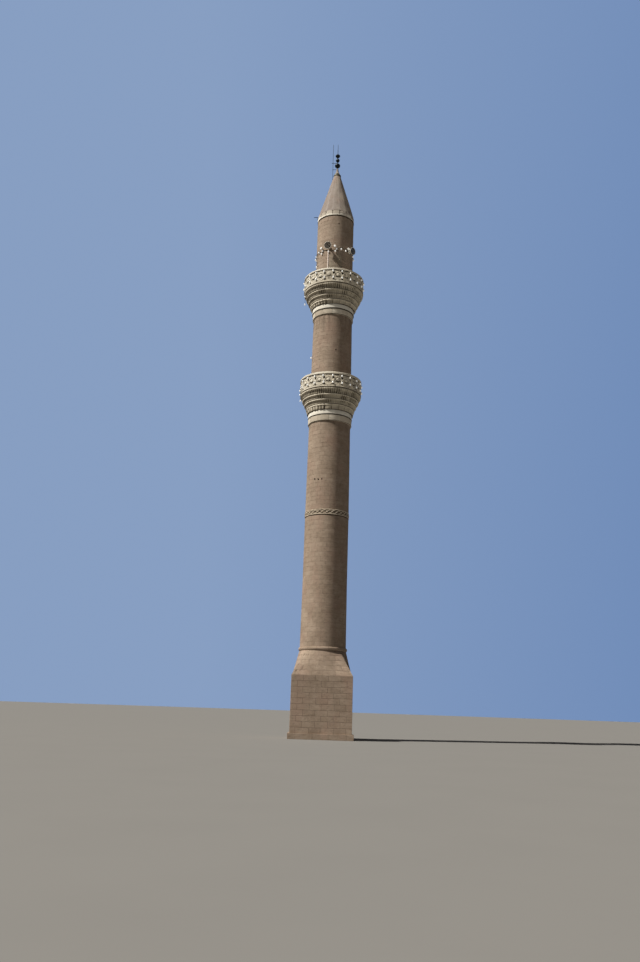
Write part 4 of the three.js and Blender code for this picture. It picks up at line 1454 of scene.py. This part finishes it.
def make_conduit():
    """A narrow pale trunking down the wall with its clips, and the cable from it to the front horn."""
    bottom, top, _ = extent("horn_conduit")
    at = side(-22)
    half = 0.030 / 1.15
    rings = []
    for z, inset in ((bottom, 0.0), (top - 0.01, 0.0), (top, 0.006)):
        section = ((1.132, -half + inset), (1.158 - inset, -half + inset), (1.164 - inset, -half * 0.7),
                   (1.164 - inset, half * 0.7), (1.158 - inset, half - inset), (1.132, half - inset))
        rings.append([polar(radius, at + across, z) for radius, across in section])
    trunking = Builder()
    trunking.tube_grid(rings)
    for z in (bottom + 0.3, bottom + 1.0, bottom + 1.7, top - 0.2):
        trunking.sector(box_profile(1.134, 1.167, z, z + 0.03), at - half * 1.3, at + half * 1.3, 4)
    trunking.make("horn_conduit_trunking", TRUNKING, "white_plastic", ["horn_conduit"])
    cable = Builder()
    route = ((1.150, 0.0, top - 0.02), (1.160, 0.0, top + 0.05), (1.158, 0.05, top + 0.13),
             (1.156, 0.10, top + 0.20), (1.15, 0.13, 29.12))
    tube(cable, [polar(radius, at + across, z) for radius, across, z in route], 0.007)
    cable.make("horn_front_cable", CABLE_SHEATH, "black_cable")


# Studio

def make_studio():
    bpy.ops.mesh.primitive_circle_add(vertices=96, radius=FLOOR_RADIUS, fill_type="NGON")
    floor = bpy.context.object
    floor.name = "studio_floor"
    floor.data.materials.append(FLOOR_PAINT)
    bpy.ops.mesh.primitive_uv_sphere_add(segments=64, ring_count=32, radius=DOME_RADIUS)
    dome = bpy.context.object
    dome.name = "studio_backdrop"
    look = Look("backdrop_paint")
    sky = look.mix(look.ramp(look.axis("X"), -60, 160), SKY_LEFT, SKY_RIGHT)
    glow = look.node("Emission", {"Color": sky}).outputs["Emission"]
    look.feed(glow, look.tree.nodes["Material Output"].inputs["Surface"])
    look.tree.nodes.remove(look.shader)
    dome.data.materials.append(look.material)
    dome.visible_diffuse = False
    dome.visible_glossy = False
    dome.visible_transmission = False
    dome.visible_shadow = False

    key = bpy.data.lights.new("key_light", "SUN")
    key.energy = KEY_STRENGTH
    key.angle = KEY_SOFTNESS
    key.color = KEY_COLOUR
    lamp = placed("key_light", key)
    toward = Vector((
        -math.sin(KEY_AZIMUTH) * math.cos(KEY_ELEVATION),
        -math.cos(KEY_AZIMUTH) * math.cos(KEY_ELEVATION),
        math.sin(KEY_ELEVATION),
    ))
    lamp.rotation_mode = "QUATERNION"
    lamp.rotation_quaternion = toward.to_track_quat("Z", "Y")
    lamp.location = toward * 100

    world = bpy.data.worlds.new("studio_world")
    bpy.context.scene.world = world
    world.use_nodes = True
    world.node_tree.nodes["Background"].inputs["Color"].default_value = FILL_COLOUR


def make_camera():
    camera = bpy.data.cameras.new("photo_camera")
    camera.lens = LENS_MM
    camera.sensor_width = SENSOR_MM
    camera.clip_end = 1000
    holder = placed("photo_camera", camera)
    right = Vector((1, 0, 0))
    forward = Vector((0, math.cos(CAMERA_PITCH), math.sin(CAMERA_PITCH)))
    up = Vector((0, -math.sin(CAMERA_PITCH), math.cos(CAMERA_PITCH)))
    rolled_right = right * math.cos(CAMERA_ROLL) + up * math.sin(CAMERA_ROLL)
    rolled_up = up * math.cos(CAMERA_ROLL) - right * math.sin(CAMERA_ROLL)
    turn = Matrix((rolled_right, rolled_up, -forward)).transposed().to_4x4()
    holder.matrix_world = Matrix.Translation(CAMERA_AT) @ turn
    bpy.context.scene.camera = holder


bpy.context.scene.view_settings.view_transform = "Standard"
make_camera()
make_base()
make_transition()
make_base_ring()
make_shaft()
make_carved_band()
make_balcony("lower")
make_balcony("upper")
make_cap()
make_finial()
make_lightning_rod()
make_horn("horn_front", side(-18), 29.165, PAINTED_THROAT_SHADE)
make_horn("horn_right", side(46), 29.035, HORN_SHADE)
make_lamp("lamp_left", side(-43))
make_lamp("lamp_front", side(-1))
make_lamp("lamp_right", side(41))
make_drum_lights()
make_parapet_lights("lower")
make_parapet_lights("upper")
make_conduit()
make_studio()
